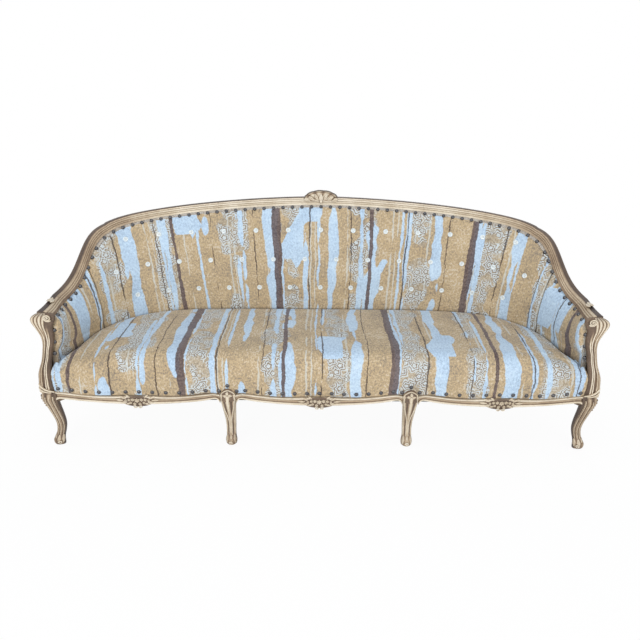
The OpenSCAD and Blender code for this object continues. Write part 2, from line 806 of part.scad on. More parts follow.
// Rings of the seat from its foot up to the crown, drawn in by o
function seat_ring(kind, a, foot, o) = [
    for (spot = seat_spots)
        let (
            r = seat_roll(spot) - o,
            edge_z = seat_edge_z(spot) - o,
            lift = kind == 0 ? 0 : a,
            roll_z = edge_z - r,
            z = kind == 0 ? mixed(foot == 0 ? (spot[0] == 0 ? cover_foot(spot, o) : wall_foot) : foot, roll_z, a)
                : kind == 1 ? roll_z + r * sin(lift)
                : mixed(edge_z, seat_h + seat_crown - o, sin(90 * a)),
            p = seat_edge(spot, z, o),
            home = spine(p),
            inward = (spot[0] == 1 || spot[0] == 2 ? [home.x, p.y] : home) - p,
            edge = p + inward / norm(inward) * (kind == 0 ? 0 : kind == 1 ? r * (1 - cos(lift)) : r),
            q = mixed(edge, home, kind == 2 ? a * flat_share : 0)
        )
        [q.x, q.y, z]
];
function cover_foot(spot, o) = apron_high(seat_edge(spot, leg_h, o).x) + side_gap;
function seat_rings(foot, o) = concat(
    [for (a = [0, 0.55, 1]) seat_ring(0, a, foot, o)],
    [for (a = [30, 60, 90]) seat_ring(1, a, foot, o)],
    [for (a = [0.25, 0.6, 1]) seat_ring(2, a, foot, o)]
);
module seat_stuffing() {
    color(hessian) placed() loft(seat_rings(stuffing_z, cover_t + stuffing_gap), seat_cap());
}
module seat_cover() {
    color(cloth) placed() loft(concat(reversed(seat_rings(0, cover_t)), seat_rings(0, 0)), seat_cap());
}

// Inside back and arms. Swell of the padding at share u, s of the way from the seat to the nail line
function tuft_rows(u) = [
    for (i = [0:2]) button_row_shares[i] + button_rise_shares[i] * u * u
];
function buttons() = [
    for (row = [0:2])
        let (shift = row == 1 ? 0.5 : 0, last = round(button_last_shares[row] / button_pitch_share - shift))
        for (k = [-last - 2 * shift:last]) [(k + shift) * button_pitch_share, row]
];
button_list = buttons();
function pad_point_z(u, s) = mixed(seat_h, line_z(u) + rail_lift - pad_below, s);
function pit(u, s) =
    let (
        here = curve(u, seat_h),
        z = pad_point_z(u, s),
        depths = [
            for (b = button_list)
                let (c = curve(b[0], seat_h), away = norm(here - c))
                if (away < 3 * tuft_r)
                    let (up = z - pad_point_z(b[0], tuft_rows(b[0])[b[1]]))
                    exp(-(away * away + up * up) / (tuft_r * tuft_r))
        ]
    )
    len(depths) == 0 ? 0 : max(depths);
// The swell dies away in a quarter round at the front edge of the arms
function edge_round(u) =
    let (near = min(max(curve(u, seat_h).y - post_back(), 0) / pad_edge, 1))
    sqrt(max(1 - (1 - near) * (1 - near), 0));
function pad_swell(u, s) =
    edge_round(u) * (back_swell * (1 - pow(abs(2 * s - 1), 2.4)) - tuft_depth * pit(u, s));
function pad_heights(u) =
    let (r = tuft_rows(u))
    [
        0, r[0] * 0.5, r[0], mixed(r[0], r[1], 0.33), mixed(r[0], r[1], 0.67), r[1],
        mixed(r[1], r[2], 0.33), mixed(r[1], r[2], 0.67), r[2], mixed(r[2], 1, 0.4), mixed(r[2], 1, 0.75), 1
    ];
function behind_post(p) = [p.x, max(p.y, post_back() + seat_gap), p.z];
function pad_section(u) = concat(
    [behind_post(wall(u, pad_foot, 0))],
    [for (s = pad_heights(u)) behind_post(wall(u, pad_point_z(u, s), -pad_swell(u, s)))],
    [for (z = [pad_point_z(u, 1), seat_h, pad_foot]) behind_post(wall(u, z, pad_t))]
);

// Direction in which the padding's face looks at share u, s
function pad_way(u, s) =
    let (
        out = normal(u),
        lean = mixed(back_lean_share, side_lean_share, abs(out.x)),
        rise = (pad_swell(u, s + pad_step) - pad_swell(u, s - pad_step))
            / (2 * pad_step * (pad_point_z(u, 1) - seat_h))
    )
    [-out.x, -out.y, lean - rise];
module pad_piece(shares) {
    loft([for (u = shares) reversed(pad_section(u))]);
}
module inside_back_pad() {
    color(cloth) placed() pad_piece(both_ways(pad_joint_share));
}
module inside_arm_pad(side) {
    half = steps(pad_joint_share + joint_share, curve_end_share - joint_share);
    color(cloth) placed() pad_piece(side > 0 ? half : -reversed(half));
}
module inside_arm_pad_left() { inside_arm_pad(-1); }
module inside_arm_pad_right() { inside_arm_pad(1); }

// Upright webbing strips behind the inside back
module back_webbing() {
    color(hessian) placed() for (i = [0:back_webs - 1]) {
        u = (i - (back_webs - 1) / 2) * web_pitch_share;
        half = web_w / 2 / norm(curve(1 / 4, seat_h) - curve(0, seat_h)) / 4;
        top = line_z(abs(u) + half) + rail_lift - web_t;
        loft([
            for (z = [frame_top + seat_gap, seat_h, top])
                [
                    wall(u - half, z, pad_t + seat_gap), wall(u + half, z, pad_t + seat_gap),
                    wall(u + half, z, pad_t + seat_gap + web_t), wall(u - half, z, pad_t + seat_gap + web_t)
                ]
        ]);
    }
}

// Outside covers
function cover_section(u, foot) = concat(
    [for (z = [foot, seat_h, pad_point_z(u, 1)]) behind_post(wall(u, z, outer_off + skin_gap))],
    [for (z = [pad_point_z(u, 1), seat_h, foot]) behind_post(wall(u, z, outer_off + skin_gap + outside_t))]
);
module outside_back_cover() {
    end = rear_leg_shares[1] + rear_block_share;
    color(cloth) placed()
        loft([for (u = both_ways(end)) reversed(cover_section(u, frame_h + seat_gap))]);
}
module outside_arm_cover(side) {
    half = steps(rear_leg_shares[1] + rear_block_share + joint_share, curve_end_share - joint_share);
    foot = frame_h + side_moulding_h + seat_gap;
    color(cloth) placed()
        loft([for (u = side > 0 ? half : -reversed(half)) reversed(cover_section(u, foot))]);
}
module outside_arm_cover_left() { outside_arm_cover(-1); }
module outside_arm_cover_right() { outside_arm_cover(1); }

// Thin black cloth under the seat frame
module dust_cover() {
    color("#2a2826") placed() translate([0, 0, frame_h - web_t - seat_gap]) linear_extrude(web_t)
        frame_plan(rail_in + dust_edge, front_rail_t + post_back() * 0.3);
}

// Dome nails along the front of the seat
module seat_nails() {
    reach = post_inner_x(leg_h + nail_lift) - side_gap - nail_r - seat_gap;
    count = 2 * floor(reach / nail_pitch);
    color(nail_colour) placed()
        for (i = [0:count]) {
            x = (i - count / 2) * nail_pitch;
            standing([x, cover_y - seat_gap, apron_high(x) + nail_lift], [0, -1, 0]) dome(nail_r, nail_r * 0.6);
        }
}

// Dome nails round the inside back and arms, and down beside the arm posts
nail_half = concat(
    [for (i = [0:top_nail_spans]) i * top_nail_share],
    [for (i = [1:sweep_nail_spans]) top_nail_spans * top_nail_share + i * sweep_nail_share]
);
nail_places = concat([for (i = [1:len(nail_half) - 1]) -nail_half[i]], nail_half);
module back_nails() {
    color(nail_colour) placed() {
        for (u = nail_places) {
            z = line_z(u) - nail_drop;
            s = (z - seat_h) / (pad_point_z(u, 1) - seat_h);
            standing(wall(u, z, -pad_swell(u, s) - nail_out), pad_way(u, s)) dome(nail_r, nail_r * 0.6);
        }
        for (side = [-1, 1], i = [1:side_nail_count]) {
            u = nail_side_share;
            z = line_z(u) - nail_drop - i * nail_pitch;
            point = wall(u, z, -pad_swell(u, max((z - seat_h) / (pad_point_z(u, 1) - seat_h), 0)) - 2 * nail_out);
            standing([side * point.x, point.y, point.z], [-side * normal(u).x, -1, 0]) dome(nail_r, nail_r * 0.6);
        }
    }
}

// Buttons that draw the inside back in
module tuft_buttons() {
    color(button_colour) placed() for (b = button_list) {
        s = tuft_rows(b[0])[b[1]];
        standing(wall(b[0], pad_point_z(b[0], s), -pad_swell(b[0], s) - button_out), pad_way(b[0], s))
            dome(button_r, button_r * 0.6);
    }
}

crest_rail();
shoulder_rail_left();
shoulder_rail_right();
arm_rail_left();
arm_rail_right();
arm_post_left();
arm_post_right();
front_leg_outer_left();
front_leg_inner_left();
front_leg_inner_right();
front_leg_outer_right();
rear_leg_outer_left();
rear_leg_inner_left();
rear_leg_inner_right();
rear_leg_outer_right();
front_rail_left();
front_rail_centre();
front_rail_right();
side_seat_rail_left();
side_seat_rail_right();
rear_seat_rail_left();
rear_seat_rail_centre();
rear_seat_rail_right();
stretcher_left();
stretcher_right();
corner_blocks();
foot_glides();
seat_webbing();
seat_springs();
spring_hessian();
front_edge_roll();
seat_stuffing();
seat_cover();
back_webbing();
inside_back_pad();
inside_arm_pad_left();
inside_arm_pad_right();
outside_back_cover();
outside_arm_cover_left();
outside_arm_cover_right();
dust_cover();
seat_nails();
back_nails();
tuft_buttons();
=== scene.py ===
import math

import bpy
import numpy as np
from mathutils import Matrix


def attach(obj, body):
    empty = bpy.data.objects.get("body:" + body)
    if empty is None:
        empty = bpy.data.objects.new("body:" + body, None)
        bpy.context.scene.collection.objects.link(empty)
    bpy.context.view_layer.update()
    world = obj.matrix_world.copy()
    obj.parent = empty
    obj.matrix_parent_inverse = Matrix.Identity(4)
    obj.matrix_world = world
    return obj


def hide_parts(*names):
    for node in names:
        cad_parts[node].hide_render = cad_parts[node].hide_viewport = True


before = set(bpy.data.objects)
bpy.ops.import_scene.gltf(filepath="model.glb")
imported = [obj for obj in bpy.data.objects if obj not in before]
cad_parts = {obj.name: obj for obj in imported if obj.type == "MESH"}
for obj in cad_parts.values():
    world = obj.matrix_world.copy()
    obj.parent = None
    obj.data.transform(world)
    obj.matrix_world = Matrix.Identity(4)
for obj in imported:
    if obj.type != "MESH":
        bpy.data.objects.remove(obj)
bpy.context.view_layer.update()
scene = bpy.context.scene

# Sizes that repeat the construction's
SEAT_W = 2080.0
SEAT_D = 507.0
SEAT_H = 430.0
SEAT_CROWN = 9.0
FRONT_ROLL = 62.0
SIDE_ROLL = 16.0
SIDE_DROP = 16.0
BACK_H = 905.0
SHOULDER_H = 818.0
ARM_H = 575.0
PAD_T = 14.0
BACK_SWELL = 24.0
RAIL_D = 51.0
RAIL_T = 35.0
ARM_RAIL_W = 64.0
ARM_RAIL_T = 24.0
RAIL_LIP = 3.0
RAIL_LIFT = 8.0
CREST_RISE = 30.0
CREST_W = 165.0
POST_SWING = 98.0
POST_LEAN = 20.0
POST_X = 1045.0
LEG_H = 262.0
POST_H = 340.0
KNEE_W = 68.0
LEG_SWEEP = 30.0
FRAME_H = 200.0
FRAME_TOP = 286.0
FRONT_RAIL_T = 40.0
INNER_LEG_X = 374.0
OUTER_LEG_X = 1094.6
OUTER_LEG_Y = 14.0
OUTER_BLOCK_X = 1016.0
OUTER_OFF = 43.0
COVER_Y = -5.3
POST_FRONT = -13.3
BEAD_OUT = 13.0
PAD_FOOT = 300.0
NAIL_R = 8.0
BUTTON_R = 11.5
MID_Y = 307.79
CREST_END = 0.36
ARM_JOINT = 0.935
PAD_JOINT = 0.84
CURVE_END = 0.992
REAR_LEG_END = 0.722

# Gaps between pieces, limits of the cloth's simulation and shifts of the cloth's pattern
JOINT_GAP = 0.0008
POST_BACK = 25.2
COVER_GAP = 1.6
COVER_THICK = 4.0
SWELL_FRAMES = 20
PAD_MOVE = 5.0
SEAT_MOVE = 3.0
FRAME_GAP = 0.3
ARM_CLOTH_SHIFT = 2.3
OUTSIDE_CLOTH_SHIFT = 3.1
NAIL_PITCH = 51.0

AHEAD = np.array([0, -1.0, 0])
RIGHT = np.array([1.0, 0, 0])
UP = np.array([0, 0, 1.0])
SIDES = ((-1, "left"), (1, "right"))


# How deep and how wide the inside of the sofa is at a height
def back_run(z):
    return SEAT_D + 0.20 * np.maximum(z - SEAT_H, 0)


def side_run(z):
    return SEAT_W / 2 + 0.18 * np.maximum(z - SEAT_H, 0)


def smooth(x, low, high):
    t = np.clip((x - low) / (high - low), 0, 1)
    return t * t * (3 - 2 * t)


# Plan of the inside back at share u of the way round and height z
def curve(u, z):
    t = np.radians(90 * np.abs(u) ** 2.75)
    turn_out = -0.337 * np.clip(z - 492, -78, 68)
    x = side_run(z) * np.sin(t) ** (2 / 5.5) + smooth(np.abs(u), 0.93, CURVE_END) * turn_out
    y = back_run(z) * np.maximum(np.cos(t), 0) ** (2 / 2.2)
    return np.sign(u) * x, y + 0 * x


# A step to each side of a share, for slopes
def ends(u):
    hi = np.minimum(u + 0.002, 1)
    return hi, np.maximum(hi - 0.004, -1)


def normal(u):
    """Outward direction of the plan."""
    hi, lo = ends(u)
    x1, y1 = curve(hi, SEAT_H)
    x0, y0 = curve(lo, SEAT_H)
    d = np.hypot(x1 - x0, y1 - y0)
    return -(y1 - y0) / d, (x1 - x0) / d


def wall(u, z, off=0.0):
    """Place on the inside wall, or off it to the outside."""
    u = np.asarray(u, float)
    x, y = curve(u, z)
    nx, ny = normal(u)
    return x + off * nx, y + off * ny


def sweep_down(u):
    """Share that is 1 along the back and 0 on the arms, where the top rail has swept down."""
    return 1 / (1 + (np.abs(u) / 0.834) ** 25.5)


def line_z(u):
    """Height of the line along which the top rail meets the pads."""
    crown = 1 - np.minimum(np.abs(u) / 0.75, 1) ** 1.68
    return ARM_H + sweep_down(u) * (SHOULDER_H - ARM_H + (BACK_H - SHOULDER_H) * crown)


def slope_gain(u):
    """How much taller a section of the rail gets where the line is steep."""
    hi, lo = ends(u)
    x1, y1 = curve(hi, SEAT_H)
    x0, y0 = curve(lo, SEAT_H)
    run = np.hypot(x1 - x0, y1 - y0)
    return np.hypot(run, line_z(hi) - line_z(lo)) / run


def spline(knots, count):
    """Smooth run of points through given knots."""
    knots = np.asarray(knots, float)
    n = len(knots)
    t = np.linspace(0, n - 1, count)
    i = np.clip(t.astype(int), 0, n - 2)
    f = (t - i)[:, None]
    p0, p1, p2, p3 = (knots[np.clip(i + k, 0, n - 1)] for k in (-1, 0, 1, 2))
    square = (2 * p0 - 5 * p1 + 4 * p2 - p3) * f ** 2
    return 0.5 * (2 * p1 + (p2 - p0) * f + square + (3 * p1 - p0 - 3 * p2 + p3) * f ** 3)


def along(knots, x):
    """Values between given knots whose first column is the place."""
    table = spline(knots, 400)
    order = np.argsort(table[:, 0], kind="stable")
    return [np.interp(x, table[order, 0], table[order, k]) for k in range(1, table.shape[1])]


# Meshes
def new_piece(name, points, faces, material, marks):
    mesh = bpy.data.meshes.new(name)
    places = (np.asarray(points, float) - [0, MID_Y, 0]) / 1000
    mesh.from_pydata(places.tolist(), [], faces)
    mesh.update()
    for key, values in marks.items():
        values = np.asarray(values, float)
        if values.ndim == 1:
            mesh.attributes.new(key, "FLOAT", "POINT").data.foreach_set("value", values)
        else:
            mesh.attributes.new(key, "FLOAT_VECTOR", "POINT").data.foreach_set("vector", values.ravel())
    mesh.polygons.foreach_set("use_smooth", [True] * len(mesh.polygons))
    mesh.materials.append(material)
    piece = bpy.data.objects.new(name, mesh)
    scene.collection.objects.link(piece)
    return piece


def grid_faces(n, m, wrap):
    i, j = np.meshgrid(np.arange(n - 1), np.arange(m if wrap else m - 1), indexing="ij")
    k = (j + 1) % m
    a, b, c, d = i * m + j, i * m + k, (i + 1) * m + k, (i + 1) * m + j
    return np.stack([a, b, c, d], -1).reshape(-1, 4).tolist()


def closed_faces(n, m):
    """Faces of a tube of n rings with m points each, with both its ends."""
    return grid_faces(n, m, True) + [list(range(m - 1, -1, -1)), [(n - 1) * m + j for j in range(m)]]


def faced(points, faces, proud=None):
    """Faces turned to look outward, or along proud where the patch is open."""
    total = 0.0
    middle = points.mean(0)
    quads = np.array([face for face in faces if len(face) == 4])
    a, b, c, d = (points[quads[:, k]] for k in range(4))
    way = np.cross(c - a, d - b)
    if proud is not None:
        total += float((way @ proud).sum())
    else:
        total += float((((a + b + c + d) / 4 - middle) * way).sum())
    for face in faces:
        if proud is None and len(face) > 4:
            ring = points[face]
            way = np.cross(ring - middle, np.roll(ring, -1, axis=0) - middle).sum(0)
            total += float((ring.mean(0) - middle) @ way)
    return faces if total > 0 else [face[::-1] for face in faces]


class Soup:
    """Collects the patches of one piece."""

    def __init__(self, *keys):
        self.points = []
        self.faces = []
        self.marks = {key: [] for key in keys}
        self.count = 0

    def add(self, points, faces, **marks):
        self.points.append(points)
        self.faces += faces
        for key in self.marks:
            value = marks.get(key, 0.0)
            self.marks[key].append(np.broadcast_to(np.asarray(value, float).reshape(-1), (len(points),)))
        self.count += len(points)

    def closed(self, rings, **marks):
        self.grid(rings, caps=True, **marks)

    def grid(self, points, wrap=False, caps=False, proud=None, **marks):
        n, m = points.shape[:2]
        faces = closed_faces(n, m) if caps else grid_faces(n, m, wrap)
        flat = points.reshape(-1, 3)
        faces = [[i + self.count for i in face] for face in faced(flat, faces, proud)]
        spread = {}
        for key, value in marks.items():
            spread[key] = np.broadcast_to(value, (n, m)).reshape(-1) if np.ndim(value) else value
        self.add(flat, faces, **spread)

    def tube(self, path, radius, sides=12, flat=1.0, up=(0, -1, 0), **marks):
        """Round or flattened bead along a path; up is the side that the bead stands proud on."""
        path = np.asarray(path, float)
        way = np.gradient(path, axis=0)
        way /= np.linalg.norm(way, axis=1, keepdims=True) + 1e-9
        side = np.cross(way, np.asarray(up, float))
        side /= np.linalg.norm(side, axis=1, keepdims=True) + 1e-9
        top = np.cross(side, way)
        turn = np.linspace(0, 2 * np.pi, sides, endpoint=False)
        r = np.broadcast_to(np.asarray(radius, float), (len(path),))[:, None, None]
        cos, sin = (f(turn)[None, :, None] for f in (np.cos, np.sin))
        rings = path[:, None] + r * (cos * side[:, None] + flat * sin * top[:, None])
        lit = 0.35 + 0.65 * np.abs(np.sin(turn)) ** 0.7
        if "glaze" in self.marks:
            marks["glaze"] = marks.get("glaze", 1.0) * lit[None] + np.zeros((len(path), 1))
        self.closed(rings, **marks)

    def leaf(self, foot, way, across, proud, length, width, height, curl=0.0, glaze=1.0):
        """Carved leaf or petal: a domed blade with a vein, from its foot along a way."""
        foot, way, across, proud = (np.asarray(v, float) for v in (foot, way, across, proud))
        s = np.linspace(0, 1, 15)[:, None]
        t = np.linspace(-1, 1, 13)[None]
        wide = width / 2 * np.sin(np.pi * np.clip(s, 0, 1) ** 1.05) ** 0.8 + 0.12 * width * (1 - s)
        lobes = 1 + 0.10 * np.sin(s * np.pi * 5) * np.abs(t)
        arch = 0.25 + 0.75 * np.sin(np.pi * np.clip(s * 0.95 + 0.05, 0, 1)) ** 0.6
        dome = height * (1 - t ** 2) ** 0.6 * arch
        vein = -0.28 * height * np.exp(-(t / 0.16) ** 2) * np.sin(np.pi * np.clip(s, 0.02, 0.98))
        out = dome + vein + curl * s ** 3
        places = (foot + way * (length * s)[..., None] + across * (wide * lobes * t)[..., None]
                  + proud * out[..., None])
        shine = np.clip(0.25 + 0.9 * (1 - np.abs(t)) ** 0.5 - 0.7 * np.exp(-(t / 0.16) ** 2), 0, 1) + 0 * s
        self.grid(places, proud=proud, glaze=shine * glaze)

    def knob(self, centre, proud, across, radius, height, glaze=1.0):
        """Small dome."""
        centre, proud, across = (np.asarray(v, float) for v in (centre, proud, across))
        other = np.cross(proud, across)
        r = np.linspace(0, 1, 9)[:, None]
        a = np.linspace(0, 2 * np.pi, 24, endpoint=False)[None]
        lift = height * np.sqrt(np.maximum(1 - r ** 2, 0)) + 0 * a
        flat = across * (radius * r * np.cos(a))[..., None] + other * (radius * r * np.sin(a))[..., None]
        places = centre + flat + proud * lift[..., None]
        self.grid(places, wrap=True, proud=proud, glaze=np.clip(1.1 - r ** 3, 0.1, 1) * glaze + 0 * a)

    def piece(self, name, material):
        marks = {key: np.concatenate(value) for key, value in self.marks.items()}
        return new_piece(name, np.concatenate(self.points), self.faces, material, marks)

    def show_wood(self, name):
        stand_for(self.piece(f"{name}_carved", WOOD), "show_wood", name)


def scroll(soup, centre, across, rise, proud, reach, swing, radius, glaze=1.0):
    """Bead wound into a spiral of the given reach at each angle of its swing."""
    path = centre + np.outer(reach * np.cos(swing), across) + np.outer(reach * np.sin(swing), rise)
    soup.tube(path, radius, up=proud, glaze=glaze)


# Materials
def linear(r, g, b):
    """Shader colour from a colour on the screen; none here is dark enough for the curve's straight foot."""
    return tuple(((v / 255 + 0.055) / 1.055) ** 2.4 for v in (r, g, b)) + (1.0,)


class Paint:
    """Small helper that adds and joins shader nodes."""

    def __init__(self, name):
        self.material = bpy.data.materials.new(name)
        self.material.use_nodes = True
        self.tree = self.material.node_tree
        self.shader = self.tree.nodes["Principled BSDF"]

    def node(self, kind, **values):
        made = self.tree.nodes.new(kind)
        for key, value in values.items():
            setattr(made, key, value)
        return made

    def join(self, source, target):
        self.tree.links.new(source, target)

    def put(self, socket, value):
        if isinstance(value, (int, float)):
            socket.default_value = value
        elif isinstance(value, tuple):
            socket.default_value = value[:len(socket.default_value)]
        else:
            self.join(value, socket)

    def math(self, kind, a, b=0.0, clamp=False):
        made = self.node("ShaderNodeMath", operation=kind, use_clamp=clamp)
        self.put(made.inputs[0], a)
        self.put(made.inputs[1], b)
        return made.outputs[0]

    def add(self, a, b, clamp=False):
        return self.math("ADD", a, b, clamp)

    def mul(self, a, b):
        return self.math("MULTIPLY", a, b)

    def less(self, a, b):
        return self.math("SUBTRACT", a, b)

    def most(self, a, b):
        return self.math("MAXIMUM", a, b)

    def swing(self, value, size):
        """A noise turned to swing about zero."""
        return self.mul(self.less(value, 0.5), size)

    def mix(self, share, a, b, kind="MIX"):
        made = self.node("ShaderNodeMix", data_type="RGBA", blend_type=kind)
        self.put(made.inputs[0], share)
        self.put(made.inputs[6], a)
        self.put(made.inputs[7], b)
        return made.outputs[2]

    def mark(self, name, output="Fac"):
        return self.node("ShaderNodeAttribute", attribute_name=name).outputs[output]

    def place(self):
        return self.node("ShaderNodeTexCoord").outputs["Object"]

    def parts(self, source):
        made = self.node("ShaderNodeSeparateXYZ")
        self.join(source, made.inputs[0])
        return made.outputs

    def noise(self, place, scale, detail=3.0, rough=0.55, distort=0.0):
        made = self.node("ShaderNodeTexNoise")
        self.put(made.inputs["Vector"], place)
        made.inputs["Scale"].default_value = scale
        made.inputs["Detail"].default_value = detail
        made.inputs["Roughness"].default_value = rough
        made.inputs["Distortion"].default_value = distort
        return made.outputs["Fac"]

    def cells(self, place, random, **options):
        made = self.node("ShaderNodeTexVoronoi", feature="F1", voronoi_dimensions="2D", **options)
        self.put(made.inputs["Vector"], place)
        made.inputs["Scale"].default_value = 1.0
        made.inputs["Randomness"].default_value = random
        return made

    def ramp(self, share, stops):
        made = self.node("ShaderNodeValToRGB")
        slots = made.color_ramp.elements
        while len(slots) < len(stops):
            slots.new(1.0)
        for slot, (place, colour) in zip(slots, stops):
            slot.position = place
            slot.color = colour if isinstance(colour, tuple) else (colour, colour, colour, 1)
        self.put(made.inputs[0], share)
        return made.outputs[0]

    def step(self, value, low, high):
        made = self.node("ShaderNodeMapRange", interpolation_type="SMOOTHSTEP")
        self.put(made.inputs[0], value)
        made.inputs[1].default_value = low
        made.inputs[2].default_value = high
        return made.outputs[0]

    def vector(self, x, y, z=0.0):
        made = self.node("ShaderNodeCombineXYZ")
        for k, value in enumerate((x, y, z)):
            self.put(made.inputs[k], value)
        return made.outputs[0]

    def bump(self, height, strength, distance):
        made = self.node("ShaderNodeBump")
        made.inputs["Strength"].default_value = strength
        made.inputs["Distance"].default_value = distance
        self.put(made.inputs["Height"], height)
        self.join(made.outputs[0], self.shader.inputs["Normal"])

    def finish(self, colour, rough, **fixed):
        self.put(self.shader.inputs["Base Color"], colour)
        self.put(self.shader.inputs["Roughness"], rough)
        for key, value in fixed.items():
            self.shader.inputs[key.replace("_", " ")].default_value = value
        return self.material


def carved_wood():
    """Painted and glazed show wood: cream on the high beads, brown left in the hollows."""
    p = Paint("carved_wood")
    place = p.place()
    blotch = p.noise(place, 11.0, 4.0)
    fine = p.noise(place, 120.0, 4.0, 0.6)
    wear = p.add(p.swing(blotch, 0.55), p.swing(fine, 0.34))
    share = p.add(p.mark("glaze"), wear, clamp=True)
    colour = p.ramp(share, [
        (0.0, linear(88, 72, 60)), (0.16, linear(112, 93, 77)), (0.36, linear(146, 125, 102)),
        (0.60, linear(180, 161, 136)), (0.82, linear(208, 195, 172)), (1.0, linear(228, 219, 202))
    ])
    # The dark mark pulls the colour towards dark grey-brown; on the legs' sides and backs it is painted
    # shade
    colour = p.mix(p.mul(p.mark("dark"), 0.9), colour, linear(66, 58, 56))
    grain = p.noise(p.vector(p.add(blotch, fine), fine), 40.0, 2.0)
    colour = p.mix(p.mul(grain, 0.25), colour, linear(120, 98, 76), "MULTIPLY")
    p.bump(p.add(p.mul(fine, 0.6), blotch), 0.22, 0.0015)
    return p.finish(colour, p.add(0.40, p.mul(fine, 0.25)), Specular_IOR_Level=0.4)


def plain_wood():
    p = Paint("plain_wood")
    place = p.place()
    stretch = p.node("ShaderNodeMapping")
    p.join(place, stretch.inputs["Vector"])
    stretch.inputs["Scale"].default_value = (6.0, 40.0, 40.0)
    grain = p.noise(stretch.outputs[0], 1.6, 6.0, 0.6, 0.6)
    broad = p.noise(place, 4.0, 3.0)
    share = p.add(p.mul(grain, 0.7), p.mul(broad, 0.3))
    colour = p.ramp(share, [
        (0.30, linear(98, 80, 65)), (0.52, linear(136, 116, 95)), (0.72, linear(168, 150, 126))
    ])
    p.bump(grain, 0.25, 0.001)
    return p.finish(colour, p.add(0.5, p.mul(grain, 0.2)))


def streaks(p, x, y, period, offset, bands, ragged, seed, grain=(3.4, 3.0)):
    """Upright streaks, as centre and half-width shares of one period, which swell, taper and end."""
    turn = p.math("FRACT", p.add(p.mul(x, 1 / period), offset))
    stops = [(0.0, 0.0)]
    for centre, half in bands:
        stops += [(centre - 2 * half, 0.0), (centre, 1.0), (centre + 2 * half, 0.0)]
    shape = p.ramp(turn, stops)
    drift = p.noise(p.vector(p.mul(x, grain[0]), p.mul(y, grain[1]), seed), 1.0, 2.0, 0.6)
    gain = p.add(1.0, p.swing(drift, ragged))
    return p.step(p.mul(shape, gain), 0.46, 0.54)


